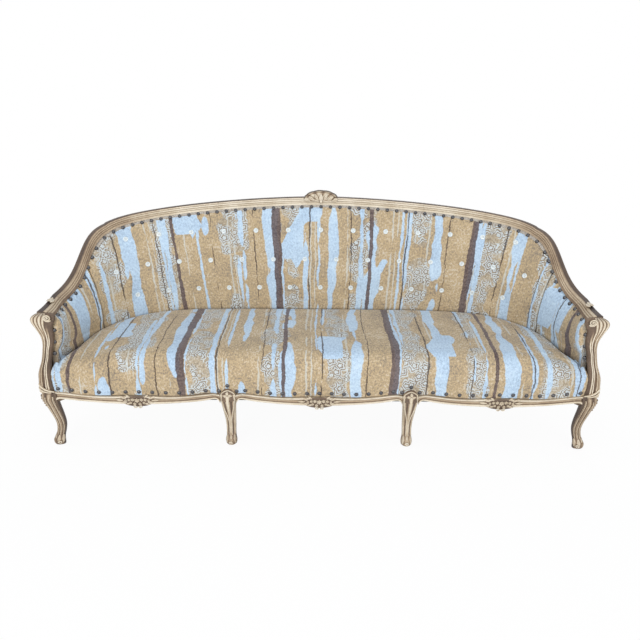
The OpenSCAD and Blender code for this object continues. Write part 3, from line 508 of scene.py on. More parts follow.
def striped_cloth(name, shift):
    """Woven cover cloth: broken streaks on a speckled gold ground, with pale columns of small flowers."""
    p = Paint(name)
    flat = p.mark("cloth", "Vector")
    x0, y = p.parts(flat)[:2]
    wave = p.noise(p.vector(p.mul(x0, 2.2), p.mul(y, 3.2), shift), 1.0, 2.0)
    small = p.noise(p.vector(x0, p.mul(y, 0.8), shift + 5), 42.0, 3.0, 0.75)
    x = p.add(x0, p.add(p.swing(wave, 0.034), p.swing(small, 0.015)))
    x = p.add(x, 10.0 + shift)
    blue = streaks(p, x, y, 1.37, 0.13, [
        (0.06, 0.014), (0.16, 0.006), (0.27, 0.018), (0.38, 0.006), (0.47, 0.012), (0.60, 0.020),
        (0.71, 0.006), (0.81, 0.015), (0.93, 0.008)
    ], 5.5, 1.3, (8.0, 4.2))
    slim = streaks(p, x, y, 0.53, 0.31, [(0.16, 0.010), (0.52, 0.017), (0.85, 0.008)], 6.5, 3.1, (9.0, 5.0))
    brown = streaks(p, x, y, 0.87, 0.05, [(0.32, 0.019), (0.80, 0.009)], 1.6, 4.7, (3.4, 4.0))
    motif = streaks(p, x, y, 0.57, 0.41, [(0.28, 0.090), (0.74, 0.070)], 4.5, 7.1, (4.0, 6.0))
    crack = streaks(p, x, y, 0.43, 0.22, [(0.36, 0.0065), (0.79, 0.0050)], 3.5, 9.4, (5.0, 7.0))
    pale_line = streaks(p, x, y, 0.36, 0.60, [
        (0.25, 0.009), (0.31, 0.006), (0.71, 0.008)
    ], 5.0, 2.2, (6.0, 6.0))
    block = p.cells(p.vector(p.mul(x, 11.0), p.mul(y, 6.0)), 0.7, distance="CHEBYCHEV")
    broad = p.step(p.parts(block.outputs["Color"])[0], 0.945, 0.946)

    patch = p.noise(flat, 9.0, 3.0)
    thread = p.noise(p.vector(x0, p.mul(y, 0.75), shift), 130.0, 4.0, 0.8)
    speck = p.add(p.swing(thread, 2.6), patch, clamp=True)
    gold = p.ramp(speck, [
        (0.08, linear(136, 125, 112)), (0.36, linear(172, 155, 129)), (0.60, linear(192, 168, 130)),
        (0.92, linear(203, 195, 180))
    ])
    ground = p.ramp(speck, [
        (0.12, linear(134, 126, 116)), (0.5, linear(170, 161, 144)), (0.85, linear(190, 194, 194))
    ])
    sky = p.ramp(speck, [
        (0.10, linear(164, 186, 210)), (0.50, linear(184, 208, 231)), (0.90, linear(200, 219, 234))
    ])
    umber = p.ramp(speck, [(0.15, linear(82, 69, 70)), (0.85, linear(118, 104, 101))])

    place = p.vector(p.mul(x, 23.0), p.mul(y, 23.0))
    cell = p.cells(place, 0.8)
    from_middle = p.node("ShaderNodeVectorMath", operation="SUBTRACT")
    p.join(place, from_middle.inputs[0])
    p.join(cell.outputs["Position"], from_middle.inputs[1])
    parts = p.parts(from_middle.outputs[0])
    angle = p.math("ARCTAN2", parts[1], parts[0])
    lobes = p.math("COSINE", p.mul(angle, 5.0))
    curl = p.noise(flat, 60.0, 1.0)
    far = p.mul(cell.outputs["Distance"], p.add(1.0, p.mul(lobes, 0.17)))
    far = p.add(far, p.swing(curl, 0.14))

    def ring(at, half):
        return p.less(p.step(far, at - half - 0.025, at - half), p.step(far, at + half, at + half + 0.025))

    light = p.most(ring(0.34, 0.040), p.most(ring(0.10, 0.050), ring(0.57, 0.040)))
    shade = p.most(ring(0.43, 0.022), ring(0.22, 0.025))
    worn = p.step(p.noise(flat, 16.0, 2.0), 0.38, 0.52)

    colour = p.mix(p.mul(motif, 0.55), gold, ground)
    colour = p.mix(p.mul(pale_line, 0.70), colour, linear(204, 206, 200))
    drawn = p.mul(motif, worn)
    colour = p.mix(p.mul(p.mul(drawn, shade), 0.70), colour, linear(108, 94, 84))
    colour = p.mix(p.mul(p.mul(drawn, light), 0.90), colour, linear(202, 213, 219))
    azure = p.most(broad, p.most(blue, slim))
    colour = p.mix(p.mul(azure, 0.97), colour, sky)
    colour = p.mix(p.mul(brown, 0.95), colour, umber)
    colour = p.mix(p.mul(crack, 0.85), colour, linear(74, 62, 58))
    # Painted shade: the cloth darkens to near black-brown where the seat meets the back and arms
    colour = p.mix(p.mul(p.mark("seat_join_shade"), 0.85), colour, linear(52, 44, 40))

    warp = p.node("ShaderNodeTexWave", wave_type="BANDS", bands_direction="X", wave_profile="SIN")
    weft = p.node("ShaderNodeTexWave", wave_type="BANDS", bands_direction="Y", wave_profile="SIN")
    for threads in (warp, weft):
        p.put(threads.inputs["Vector"], flat)
        threads.inputs["Scale"].default_value = 120.0
        threads.inputs["Distortion"].default_value = 1.2
    weave = p.mul(warp.outputs["Fac"], weft.outputs["Fac"])
    tone = p.ramp(p.add(p.mul(weave, 0.25), p.mul(thread, 0.75)), [(0.25, 0.80), (0.60, 1.0)])
    colour = p.mix(0.9, colour, tone, "MULTIPLY")
    p.bump(p.add(weave, thread), 0.35, 0.0008)
    return p.finish(colour, p.add(0.78, p.mul(thread, 0.14)), Sheen_Weight=0.45,
                    Sheen_Roughness=0.35, Sheen_Tint=(0.84, 0.86, 0.95, 1.0), Specular_IOR_Level=0.2)


def speckled(name, low, high, scale, rough, depth=0.0006, **fixed):
    p = Paint(name)
    place = p.place()
    mottle = p.noise(place, scale, 4.0, 0.6)
    fine = p.noise(place, scale * 6, 2.0)
    share = p.add(p.mul(mottle, 0.6), p.mul(fine, 0.4))
    colour = p.ramp(share, [(0.32, low), (0.68, high)])
    p.bump(fine, 0.3, depth)
    return p.finish(colour, p.add(rough, p.mul(mottle, 0.12)), **fixed)


def pearl():
    p = Paint("pearl")
    place = p.place()
    cloud = p.noise(place, 90.0, 3.0, 0.6, 1.5)
    colour = p.ramp(cloud, [
        (0.3, linear(190, 203, 209)), (0.5, linear(212, 222, 226)), (0.7, linear(228, 228, 224))
    ])
    colour = p.mix(p.mark("hole"), colour, linear(150, 152, 150))
    p.bump(cloud, 0.1, 0.0004)
    return p.finish(colour, p.add(0.22, p.mul(cloud, 0.12)), Coat_Weight=0.35, Coat_Roughness=0.12)


def braid():
    """Narrow woven braid with a darker line along its lower edge."""
    p = Paint("braid")
    place = p.place()
    twist = p.noise(place, 170.0, 3.0, 0.7)
    colour = p.ramp(twist, [
        (0.32, linear(126, 114, 102)), (0.5, linear(166, 158, 148)), (0.68, linear(188, 186, 180))
    ])
    colour = p.mix(p.mark("line"), colour, linear(62, 52, 46))
    p.bump(twist, 0.4, 0.0008)
    return p.finish(colour, p.add(0.75, p.mul(twist, 0.15)))


WOOD = carved_wood()
PLAIN = plain_wood()
BACK_CLOTH = striped_cloth("back_cloth", 0.0)
SEAT_CLOTH = striped_cloth("seat_cloth", 0.37)
NAIL = speckled("nail_metal", linear(14, 14, 22), linear(36, 35, 46), 300.0, 0.22, 0.0002, Coat_Weight=1.0,
                Coat_Roughness=0.16)
STEEL = speckled("steel", linear(120, 122, 126), linear(168, 170, 172), 90.0, 0.35, 0.0003, Metallic=0.9)
CANVAS = speckled("canvas", linear(150, 124, 84), linear(190, 164, 120), 160.0, 0.85)
DUST = speckled("dust_cloth", linear(34, 32, 31), linear(58, 55, 53), 200.0, 0.9)
PEARL = pearl()
BRAID = braid()


def stand_for(piece, slot, *nodes, padded=None):
    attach(piece, "root")
    if nodes:
        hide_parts(*nodes)


# Top rail. Each knot is the share of the rail's depth and height, how cream it is and how dark
CREST_PROFILE_SHARES = [
    [0.00, 0.00, 0.90, 0.0], [0.03, 0.06, 0.90, 0.0], [0.06, 0.14, 0.90, 0.0], [0.080, 0.22, 0.80, 0.0],
    [0.090, 0.27, 0.35, 0.0], [0.070, 0.30, 0.80, 0.0], [0.045, 0.37, 0.95, 0.0], [0.070, 0.44, 0.80, 0.0],
    [0.105, 0.47, 0.30, 0.0], [0.10, 0.50, 0.75, 0.0], [0.070, 0.58, 1.00, 0.0], [0.085, 0.68, 0.95, 0.0],
    [0.13, 0.73, 0.30, 0.0], [0.125, 0.78, 0.85, 0.0], [0.145, 0.87, 0.90, 0.0], [0.175, 0.93, 0.20, 0.5],
    [0.22, 0.985, 0.0, 0.90], [0.30, 1.01, 0.0, 0.95], [0.43, 1.00, 0.05, 0.9], [0.58, 0.98, 0.10, 0.9],
    [0.74, 0.94, 0.25, 0.6], [0.88, 0.82, 0.45, 0.2], [0.97, 0.62, 0.60, 0.0], [1.00, 0.40, 0.55, 0.0],
    [0.98, 0.00, 0.30, 0.2]
]
ARM_PROFILE_SHARES = [
    [0.00, 0.00, 0.30, 0.0], [0.02, 0.10, 0.30, 0.0], [0.045, 0.20, 0.26, 0.0], [0.070, 0.30, 0.22, 0.0],
    [0.085, 0.34, 0.02, 0.0], [0.10, 0.40, 0.75, 0.0], [0.14, 0.52, 1.00, 0.0], [0.19, 0.50, 0.75, 0.0],
    [0.215, 0.42, 0.02, 0.0], [0.24, 0.50, 0.75, 0.0], [0.29, 0.64, 1.00, 0.0], [0.34, 0.62, 0.75, 0.0],
    [0.370, 0.54, 0.02, 0.0], [0.395, 0.62, 0.70, 0.0], [0.45, 0.76, 1.00, 0.0], [0.52, 0.80, 1.00, 0.0],
    [0.585, 0.78, 0.80, 0.0], [0.63, 0.74, 0.40, 0.2], [0.655, 0.68, 0.0, 0.8], [0.70, 0.76, 0.10, 0.95],
    [0.80, 0.86, 0.10, 1.0], [0.90, 0.90, 0.10, 0.9], [0.97, 0.80, 0.30, 0.4], [1.00, 0.60, 0.50, 0.1],
    [0.84, 0.00, 0.30, 0.2]
]
CREST_PROFILE = spline(CREST_PROFILE_SHARES, 97)
ARM_PROFILE = spline(ARM_PROFILE_SHARES, 97)


def rail_rings(u):
    blend = (1 - sweep_down(u))[:, None]
    gain = slope_gain(u)[:, None]
    gain = gain + (1 - gain) * blend ** 2
    crest = CREST_PROFILE * [RAIL_D, RAIL_T, 1, 1]
    arm = ARM_PROFILE * [ARM_RAIL_W, ARM_RAIL_T, 1, 1]
    out, up, glaze, dark = (crest[:, k] * (1 - blend) + arm[:, k] * blend for k in range(4))
    uu = np.broadcast_to(u[:, None], out.shape)
    at = line_z(uu)
    x, y = wall(uu, at, out - RAIL_LIP)
    points = np.stack([x, y, at + (up + RAIL_LIFT) * gain], -1)
    tone = 1 - 0.42 * smooth(np.abs(u), 0.40, 0.80) + 0.12 * smooth(np.abs(u), 0.93, 0.99)
    pale = smooth(np.abs(u), 0.45, 0.62) * (1 - smooth(np.abs(u), 0.90, 0.955))
    return points, glaze * tone[:, None], dark * (1 - 0.6 * pale[:, None])


def rail(soup, start, end):
    count = max(int(abs(end - start) / 0.003), 8)
    points, glaze, dark = rail_rings(np.linspace(start, end, count))
    soup.closed(points, glaze=glaze, dark=dark)


def rail_spot(u, out, up):
    """Point over the arm rail's line, by shares of its width and thickness."""
    u = np.asarray(u, float)
    x, y = wall(u, ARM_H, out * ARM_RAIL_W - RAIL_LIP)
    return np.stack([x, y, line_z(u) + up * ARM_RAIL_T + RAIL_LIFT + 0 * x], -1)


def arm_leaf(soup, side):
    """Lifted leaf where the dark upper bead ends on the arm."""
    for out, start, length, width, lift in ((0.80, 0.944, 56, 25, 12), (0.58, 0.950, 42, 18, 7)):
        foot = rail_spot(side * start, out, 0.78)
        way = rail_spot(side * (start + 0.02), out + 0.03, 0.86) - foot
        way /= np.linalg.norm(way)
        across = rail_spot(side * start, out + 0.2, 0.78) - foot
        across /= np.linalg.norm(across)
        proud = np.cross(across, way)
        proud *= np.sign(proud[2])
        soup.leaf(foot, way, across, proud, length, width, 6.5, lift, glaze=1.05)


def crest_shell(soup):
    """Low carved shell in the middle of the top rail, with a leaf curled to each side."""
    depth = back_run(BACK_H) + RAIL_D * 0.30
    foot = BACK_H + RAIL_LIFT + RAIL_T * 0.42
    half = CREST_W / 2
    rise = CREST_RISE + RAIL_T * 0.57
    r = np.linspace(0, 1, 26)[:, None]
    a = np.linspace(0, np.pi, 121)[None]
    lobes = np.abs(np.sin(a * 5.5 + np.pi / 2))
    edge = 0.975 + 0.025 * lobes
    shape = np.sqrt(np.maximum(1 - (r * 0.985) ** 2, 0))
    reach = r ** 0.9 * edge
    x = np.cos(a) * half * reach
    z = foot + np.sin(a) ** 0.85 * rise * reach
    flute = (lobes - 0.5) * 4.4 * smooth(r, 0.22, 0.6)
    front = depth - 5 - 12 * shape - flute
    rimmed = smooth(r, 0.86, 0.93) * 3.5 * (1 - smooth(r, 0.96, 1.0))
    points = np.stack([x + 0 * r, front - rimmed, z + 0 * r], -1)
    glaze = np.clip(0.25 + 0.85 * lobes - 0.8 * np.exp(-((r - 0.82) / 0.035) ** 2), 0, 1) * (1 - 0.25 * r)
    soup.grid(points, proud=AHEAD, glaze=glaze, dark=smooth(r, 0.89, 0.96) * 0.9 + 0 * a)
    back = np.stack([x + 0 * r, depth + 16 * shape + 0 * a, z + 0 * r], -1)
    soup.grid(back, proud=np.array([0, 1.0, 0]), glaze=0.2, dark=0.5)
    up = (0, 0, 1)
    for side in (-1, 1):
        for x0, z0, turn, size in ((14, 6, 62, 34), (30, 4, 36, 34), (50, 3, 14, 30)):
            way = (side * math.cos(math.radians(turn)), 0, math.sin(math.radians(turn)))
            across = (-way[2], 0, way[0])
            start = (side * x0, depth - 17, foot + z0)
            soup.leaf(start, way, across, (0, -1, 0.15), size, 15, 6.5, 2.0)
        t = np.linspace(0, 1, 40)
        scroll(soup, (side * 66, depth - 19, foot + 8), RIGHT * side, UP, AHEAD, 9 * (1 - 0.8 * t),
               2.6 * np.pi * t, 2.8 * (1 - 0.5 * t), 0.9)
    soup.leaf((0, depth - 19, foot - 4), up, (1, 0, 0), (0, -1, 0), 40, 20, 8.0, 0.0, glaze=1.1)
    soup.knob((0, depth - 22, foot + 1), AHEAD, RIGHT, 8.5, 6.0)


def top_rails():
    soup = Soup("glaze", "dark")
    rail(soup, -CREST_END, CREST_END)
    crest_shell(soup)
    soup.show_wood("crest_rail")
    for side, word in SIDES:
        for node, a, b in (("shoulder_rail", CREST_END, ARM_JOINT), ("arm_rail", ARM_JOINT, CURVE_END)):
            soup = Soup("glaze", "dark")
            rail(soup, min(side * a, side * b), max(side * a, side * b))
            if node == "arm_rail":
                arm_leaf(soup, side)
            soup.show_wood(f"{node}_{word}")


# Arm posts. Outline knots are height share and reach share, as in the construction
POST_OUTER_SHARES = [
    [0, 0.97], [0.08, 0.96], [0.16, 0.94], [0.245, 0.90], [0.32, 0.81], [0.40, 0.69], [0.48, 0.61],
    [0.56, 0.55], [0.62, 0.51], [0.68, 0.505], [0.73, 0.535], [0.775, 0.60], [0.825, 0.69],
    [0.875, 0.79], [0.915, 0.83], [0.95, 0.80], [0.98, 0.68], [1.0, 0.50]
]
POST_INNER_SHARES = [
    [0, 0.40], [0.12, 0.43], [0.24, 0.43], [0.32, 0.41], [0.39, 0.36], [0.45, 0.29], [0.55, 0.22],
    [0.61, 0.14], [0.68, 0.08], [0.75, 0.06], [0.83, 0.05], [0.88, -0.03], [0.93, -0.11], [0.965, -0.11],
    [0.99, -0.03], [1.0, 0.10]
]
# Across the post's face from its outer to its inner edge: place, depth in mm and how cream it is
POST_FACE_SHARES = [
    [0.00, 3.0, 0.35], [0.06, 0.8, 0.55], [0.12, 0.2, 0.60], [0.17, 1.8, 0.20], [0.23, 0.2, 0.85],
    [0.28, 0.3, 0.80], [0.33, 3.4, 0.16], [0.39, 4.6, 0.08], [0.45, 2.8, 0.20], [0.50, 0.4, 0.95],
    [0.56, 0.3, 1.00], [0.61, 2.4, 0.10], [0.67, 0.4, 0.90], [0.74, 0.6, 0.90], [0.79, 3.4, 0.06],
    [0.85, 5.0, 0.10], [0.93, 7.0, 0.10], [1.00, 10.5, 0.08]
]
POST_HEAD_SHARES = [
    [0.00, 3.0, 0.30], [0.05, 0.4, 0.85], [0.10, 0.8, 0.80], [0.14, 2.6, 0.10], [0.19, 0.4, 0.85],
    [0.25, 0.8, 0.80], [0.29, 2.8, 0.10], [0.34, 0.4, 0.85], [0.41, 0.6, 0.85], [0.45, 2.8, 0.10],
    [0.50, 0.8, 0.80], [0.56, 0.8, 0.80], [0.60, 3.4, 0.06], [0.66, 3.2, 0.12], [0.74, 3.4, 0.14],
    [0.82, 4.0, 0.14], [0.92, 6.0, 0.12], [1.00, 9.0, 0.08]
]


def arm_post(side, word):
    """S-shaped arm post with a reeded face, a scroll at its head and bands round its foot."""
    back = float(wall(CURVE_END, ARM_H)[1])
    q = np.concatenate([np.linspace(0, 0.9, 90), 0.9 + 0.1 * np.sin(np.linspace(0.05, np.pi / 2, 30))])
    outer = along(POST_OUTER_SHARES, q)[0] * POST_SWING + POST_X
    inner = along(POST_INNER_SHARES, q)[0] * POST_SWING + POST_X
    t = np.linspace(0, 1, 91)
    low_depth, low_glaze = along(POST_FACE_SHARES, t)
    high_depth, high_glaze = along(POST_HEAD_SHARES, t)
    head = smooth(q, 0.66, 0.88)[:, None]
    depth = low_depth[None] * (1 - head) + high_depth[None] * head
    glaze = low_glaze[None] * (1 - head) + high_glaze[None] * head
    hollow = np.exp(-((q - 0.20) / 0.085) ** 2)[:, None] * np.exp(-((t - 0.42) / 0.15) ** 2)[None]
    depth = depth + 4.0 * hollow
    glaze = glaze + (0.26 - glaze) * np.clip(1.1 * hollow, 0, 1) * (t[None] < 0.52)
    width = (outer - inner)[:, None]
    face_x = outer[:, None] - width * t[None]
    front = POST_FRONT + POST_LEAN * q[:, None]
    crown = smooth(q, 0.95, 1.0)[:, None]
    face_y = front + depth * (1 - 0.5 * crown) + 10 * crown ** 2
    z = LEG_H + POST_H * q[:, None] + 0 * face_x
    face = np.stack([face_x, face_y, z], -1)
    rings = [face]
    marks = [glaze]
    darks = [0 * glaze + 0.5 * crown * (t[None] < 0.55)]
    # Inner side towards the back, the back and the outer side forward again
    for x, inside, count, cream, dim in (
        (inner, True, 8, 0.16, 0.12), (None, False, 6, 0.2, 0.2), (outer, False, 8, 0.38, 0.25)
    ):
        share = np.linspace(0, 1, count + 2)[1:-1][None]
        if x is None:
            px = inner[:, None] + width * share
            py = np.full_like(px, back)
        else:
            a, b = (face_y[:, -1:], back) if inside else (back, face_y[:, :1])
            py = a + (b - a) * share
            px = x[:, None] + (-0.6 if inside else 1.8) * np.sin(np.pi * share)
        rings.append(np.stack([px, py + 0 * px, LEG_H + POST_H * q[:, None] + 0 * px], -1))
        marks.append(np.full(px.shape, cream))
        darks.append(np.full(px.shape, dim))
    points = np.concatenate(rings, 1)
    points[..., 0] *= side
    soup = Soup("glaze", "dark")
    soup.closed(points, glaze=np.concatenate(marks, 1), dark=np.concatenate(darks, 1))

    # Scroll at the head
    centre = np.array([side * (POST_X + 12.0), POST_FRONT + POST_LEAN * 0.955 - 1.5, LEG_H + POST_H - 15.5])
    s = np.linspace(0, 1, 90)
    scroll(soup, centre + np.outer(2.5 * s, AHEAD), RIGHT * side, UP * 0.86, AHEAD,
           14.0 * (1 - s) ** 0.85 + 2.4, (0.62 + 1.95 * s) * 2 * np.pi, 3.3 - 1.2 * s, 0.95)
    soup.knob(centre + [0, -2.5, 0], AHEAD, RIGHT, 3.2, 3.0)
    # Slanting bands round the foot, which run down into the front rail's upper bead
    for knots, r in (
        ([[1140, 4, 302], [1136, -9, 296], [1120, -14, 281], [1100, -15, 272], [1079, -15, 268]], 4.6),
        ([[1141, 2, 286], [1138, -10, 281], [1126, -14, 271], [1110, -15, 265], [1092, -14, 263]], 4.2),
        ([[1141, 2, 272], [1138, -9, 268], [1130, -12, 262], [1120, -13, 259], [1106, -13, 258]], 3.8)
    ):
        path = spline(knots, 50)
        v = np.linspace(0, 1, 50)
        soup.tube(path * [side, 1, 1], r * (0.75 + 0.25 * np.sin(np.pi * v)), glaze=0.95)
    soup.show_wood(f"arm_post_{word}")


# Front legs: height, forward sweep and width shares, as in the construction
LEG_SHARES = [
    [0.0, 0.10, 0.48], [0.02, 0.26, 0.58], [0.055, 0.34, 0.66], [0.11, 0.32, 0.68], [0.17, 0.12, 0.60],
    [0.24, -0.14, 0.56], [0.35, -0.34, 0.58], [0.46, -0.30, 0.62], [0.57, -0.10, 0.68], [0.69, 0.20, 0.75],
    [0.81, 0.46, 0.83], [0.90, 0.56, 0.94], [1, 0.44, 0.94]
]


def leg_line(share, lean):
    """How far ahead a leg's middle stands at a height share, and its width there."""
    ahead, wide = along(LEG_SHARES, share)
    return (ahead + lean * (1 - smooth(share, 0.45, 0.85))) * LEG_SWEEP, wide * KNEE_W


def leg_rings(flutes, lean=0.0):
    """Rings of a leg in its own axes: across, ahead and up, with how cream each point is and its painted
    shade on the sides and back.
    """
    share = np.concatenate([np.linspace(0, 0.2, 34)[:-1], np.linspace(0.2, 1, 84)])
    ahead, wide = leg_line(share, lean)
    a = np.linspace(0, 2 * np.pi, 96, endpoint=False)[None]
    cos, sin = np.cos(a), np.sin(a)
    across = np.sign(cos) * np.abs(cos) ** 0.86
    forth = np.sign(sin) * np.abs(sin) ** 0.92
    from_front = np.abs(np.angle(np.exp(1j * (a - np.pi / 2))))
    zone = 1 - smooth(from_front, 1.35, 2.1)
    high = share[:, None]
    fade = smooth(high, 0.10, 0.30) * (1 - 0.25 * smooth(high, 0.30, 0.45) * (1 - smooth(high, 0.5, 0.8)))
    wave = np.cos(from_front * flutes)
    relief = 0.070 * wave * zone * fade
    # Toe: three rounded petals
    toe = (1 - smooth(high, 0.10, 0.19)) * np.maximum(np.cos(from_front * 3.6), -0.4) * zone * 0.06
    size = wide[:, None] / 2 * (1 + relief + toe)
    floor = smooth(share, 0.0, 0.03)[:, None]
    size = size * (0.82 + 0.18 * floor)
    x = across * size
    y = ahead[:, None] + forth * size * np.where(sin > 0, 1.0, 0.9)
    z = 3 + (LEG_H - 3) * high + 0 * x
    glaze = 0.34 + zone * (0.50 * wave * fade + 0.10) + toe * 5
    # Painted shade: off the carved front the glaze drops, and the dark mark rises on the leg's sides and
    # back
    glaze = glaze * (0.86 + 0.14 * high) - 0.2 * (1 - zone)
    return x, y, z, np.clip(glaze, 0.03, 1), smooth(from_front, 1.5, 2.0) * 0.6 + 0 * z


def leg_skin(share, turn, lean=0.0, lift=0.0):
    """Point over a leg's surface, at a height share and an angle from its front."""
    share = np.asarray(share, float)
    ahead, wide = leg_line(share, lean)
    cos, sin = np.cos(turn), np.sin(turn)
    size = wide / 2 + lift
    x = np.sign(sin) * np.abs(sin) ** 0.86 * size
    y = ahead + np.sign(cos) * np.abs(cos) ** 0.92 * size
    return x, y, 3 + (LEG_H - 3) * share


def place_leg(x, y, z, at_x, at_y, angle, side):
    c, s = math.cos(angle), math.sin(angle)
    return np.stack([side * (at_x + x * c + y * s), at_y + x * s - y * c, z], -1)


def box_grid(soup, low, high):
    """Closed block, hidden behind the show wood, with softened corners."""
    low, high = np.asarray(low, float), np.asarray(high, float)
    r = 2.0
    corners = []
    for cx, cy in ((1, 1), (0, 1), (0, 0), (1, 0)):
        centre = np.array([high[0] - r if cx else low[0] + r, high[1] - r if cy else low[1] + r])
        start = {(1, 1): 0, (0, 1): 90, (0, 0): 180, (1, 0): 270}[(cx, cy)]
        for turn in (0, 30, 60, 90):
            w = math.radians(start + turn)
            corners.append(centre + r * np.array([math.cos(w), math.sin(w)]))
    ring = np.array(corners)
    rows = []
    for z, inset in ((low[2], r * 0.5), (low[2] + r, 0), (high[2] - r, 0), (high[2], r * 0.5)):
        middle = ring.mean(0)
        rows.append(np.column_stack([middle + (ring - middle) * (1 - inset / 40), np.full(len(ring), z)]))
    soup.closed(np.array(rows), glaze=0.2, dark=0.2)


def front_leg(side, word, outer):
    soup = Soup("glaze", "dark")
    at_x = OUTER_LEG_X if outer else INNER_LEG_X
    at_y = OUTER_LEG_Y if outer else FRONT_RAIL_T / 2
    angle = math.pi / 4 if outer else 0.0
    x, y, z, glaze, dark = leg_rings(6.4, 0.2) if outer else leg_rings(7.2)
    points = place_leg(x, y, z, at_x, at_y, angle, side)
    # Painted shade: the outer legs' glaze is turned down as a whole
    soup.closed(points, glaze=glaze * (0.72 if outer else 1.0), dark=dark)

    def at(*place):
        return place_leg(*(np.asarray(v, float) for v in place), at_x, at_y, angle, side)

    ahead = at(0, 1, 0) - at(0, 0, 0)
    across = at(1, 0, 0) - at(0, 0, 0)
    lean = 0.2 if outer else 0.0

    def skin(share, turn, lift):
        return at(*leg_skin(share, turn, lean, lift))

    # Beads that come down from the front rail and run along the leg
    h = np.linspace(0.95, 0.20, 80)
    if outer:
        lines = ((-0.5, -0.45, 2.6), (-1.0, -0.95, 3.0), (-1.45, -1.55, 3.2))
    else:
        lines = ((-1.35, -1.15, 3.0), (1.35, 1.15, 3.0), (-1.0, -0.22, 2.6), (1.0, 0.22, 2.6))
    for high_turn, low_turn, r in lines:
        turn = low_turn + (high_turn - low_turn) * smooth(h, 0.42, 0.92)
        soup.tube(skin(h, turn, 0.0), r * (0.65 + 0.35 * smooth(h, 0.2, 0.6)), up=tuple(ahead), glaze=0.9)
    # Petals and scrolls of the foot
    for turn in ((-0.05, -0.85, -1.65) if outer else (-0.75, 0.0, 0.75)):
        foot = skin(0.20, turn, -1.0)
        way = skin(0.06, turn, 0.0) - foot
        way /= np.linalg.norm(way)
        proud = ahead * math.cos(turn) + across * math.sin(turn)
        soup.leaf(foot, way, np.cross(way, proud), proud, 38, 15, 5.0, 1.5, glaze=0.95)
    spot = skin(0.085, -1.2 if outer else 0.0, 1.0)
    proud = ahead * math.cos(-1.2) + across * math.sin(-1.2) if outer else ahead
    t = np.linspace(0, 1, 44)
    scroll(soup, spot + proud * 2.5, np.cross(proud, UP), UP, proud, 7.5 * (1 - 0.75 * t), 3.2 * np.pi * t,
           2.3 * (1 - 0.4 * t))
    if outer:
        # Bumps down the outer edge of the knee
        for k in range(5):
            spot = skin(0.93 - 0.045 * k, 0.55 - 0.05 * k, 1.0)
            soup.knob(spot, ahead * 0.85 + across * 0.52, (0, 0, 1.0), 6.0 - 0.5 * k, 5.0, 0.9)
    else:
        # Rounded head of the knee, with a rosette
        v = np.linspace(0, 1, 26)[:, None]
        w = np.linspace(-np.pi / 2, np.pi / 2, 41)[None]

        def head(z, turn, lift=0.0):
            rise = np.clip((z - 236) / 50, 0, 1)
            wide = (33.5 + lift) * np.sqrt(np.maximum(1 - rise ** 2.6, 0))
            front = 50.5 - 19 * rise ** 1.6 + lift
            return wide * np.sin(turn), 18.5 + (front - 18.5) * np.cos(turn) ** 0.8, z

        z = 236 + 50 * v + 0 * w
        px, py, pz = head(z, w)
        shine = 0.16 + 0.3 * np.exp(-((np.abs(w) - 1.25) / 0.2) ** 2) + 0 * v
        soup.grid(at(px, py, pz), proud=ahead + np.array([0, 0, 0.5]), glaze=shine)
        t = np.linspace(0, np.pi, 60)
        soup.tube(at(*head(250 + 31 * np.sin(t), np.cos(t) * 1.18, 0.5)), 2.8, up=tuple(ahead), glaze=0.9)
        middle = at(*head(np.array(261.0), np.array(0.0), 0.5))
        for k in range(8):
            turn = math.radians(45 * k + (22.5 if k % 2 else 0))
            way = across * math.cos(turn) + UP * math.sin(turn) - ahead * 0.18
            size = 16 if k % 2 else 20
            wide = 6.5 if k % 2 else 10.5
            soup.leaf(middle, way, np.cross(ahead, way), ahead, size, wide, 5.0, 1.0)
        soup.knob(middle + ahead * 3, ahead, across, 4.2, 4.0)
    # Block in the seat frame
    if outer:
        post_edge = POST_X + POST_INNER_SHARES[0][1] * POST_SWING - 14
        for end, low, high in ((OUTER_LEG_X, 232, LEG_H - 1), (post_edge, 233, FRAME_TOP)):
            x0, x1 = sorted((side * OUTER_BLOCK_X, side * end))
            box_grid(soup, (x0, 1, low), (x1, 45, high))
    else:
        x0, x1 = side * INNER_LEG_X - KNEE_W / 2, side * INNER_LEG_X + KNEE_W / 2
        box_grid(soup, (x0, 1, 233), (x1, FRONT_RAIL_T, FRAME_TOP))
    soup.show_wood(f"front_leg_{'outer' if outer else 'inner'}_{word}")


# Front rail: moulding knots are how far out, height share, cream and dark
APRON_SHARES = [
    [0.00, 1.03, 0.45, 0.1], [0.50, 1.01, 0.60, 0.0], [0.84, 0.98, 0.85, 0.0], [1.00, 0.90, 0.95, 0.0],
    [0.92, 0.80, 0.75, 0.0], [0.72, 0.74, 0.12, 0.0], [0.62, 0.68, 0.45, 0.0], [0.58, 0.56, 0.62, 0.0],
    [0.60, 0.45, 0.52, 0.0], [0.72, 0.37, 0.14, 0.0], [0.92, 0.31, 0.70, 0.0], [1.05, 0.18, 0.95, 0.0],
    [1.00, 0.06, 0.80, 0.0], [0.72, 0.00, 0.45, 0.0], [0.20, -0.01, 0.20, 0.2]
]
INNER_EDGE = INNER_LEG_X - KNEE_W / 2
OUTER_FROM = INNER_LEG_X + KNEE_W / 2
OUTER_TO = OUTER_LEG_X - KNEE_W * 0.14


def span_share(x):
    """Place along one front rail, between its two legs."""
    ax = np.abs(x)
    inner = (x + INNER_EDGE) / (2 * INNER_EDGE)
    outer = (ax - OUTER_FROM) / (OUTER_TO - OUTER_FROM)
    return np.clip(np.where(ax < INNER_EDGE, inner, outer), 0, 1)


def by_inner_leg(x, reach):
    """Share that is 1 at an inner leg and fades over a reach to its sides."""
    near = np.maximum(np.abs(np.abs(x) - INNER_LEG_X) - KNEE_W / 2, 0)
    return np.exp(-(near / reach) ** 2)


def apron_foot(x):
    return 236 - 26 * np.sin(np.pi * span_share(x)) + 7 * by_inner_leg(x, 55)


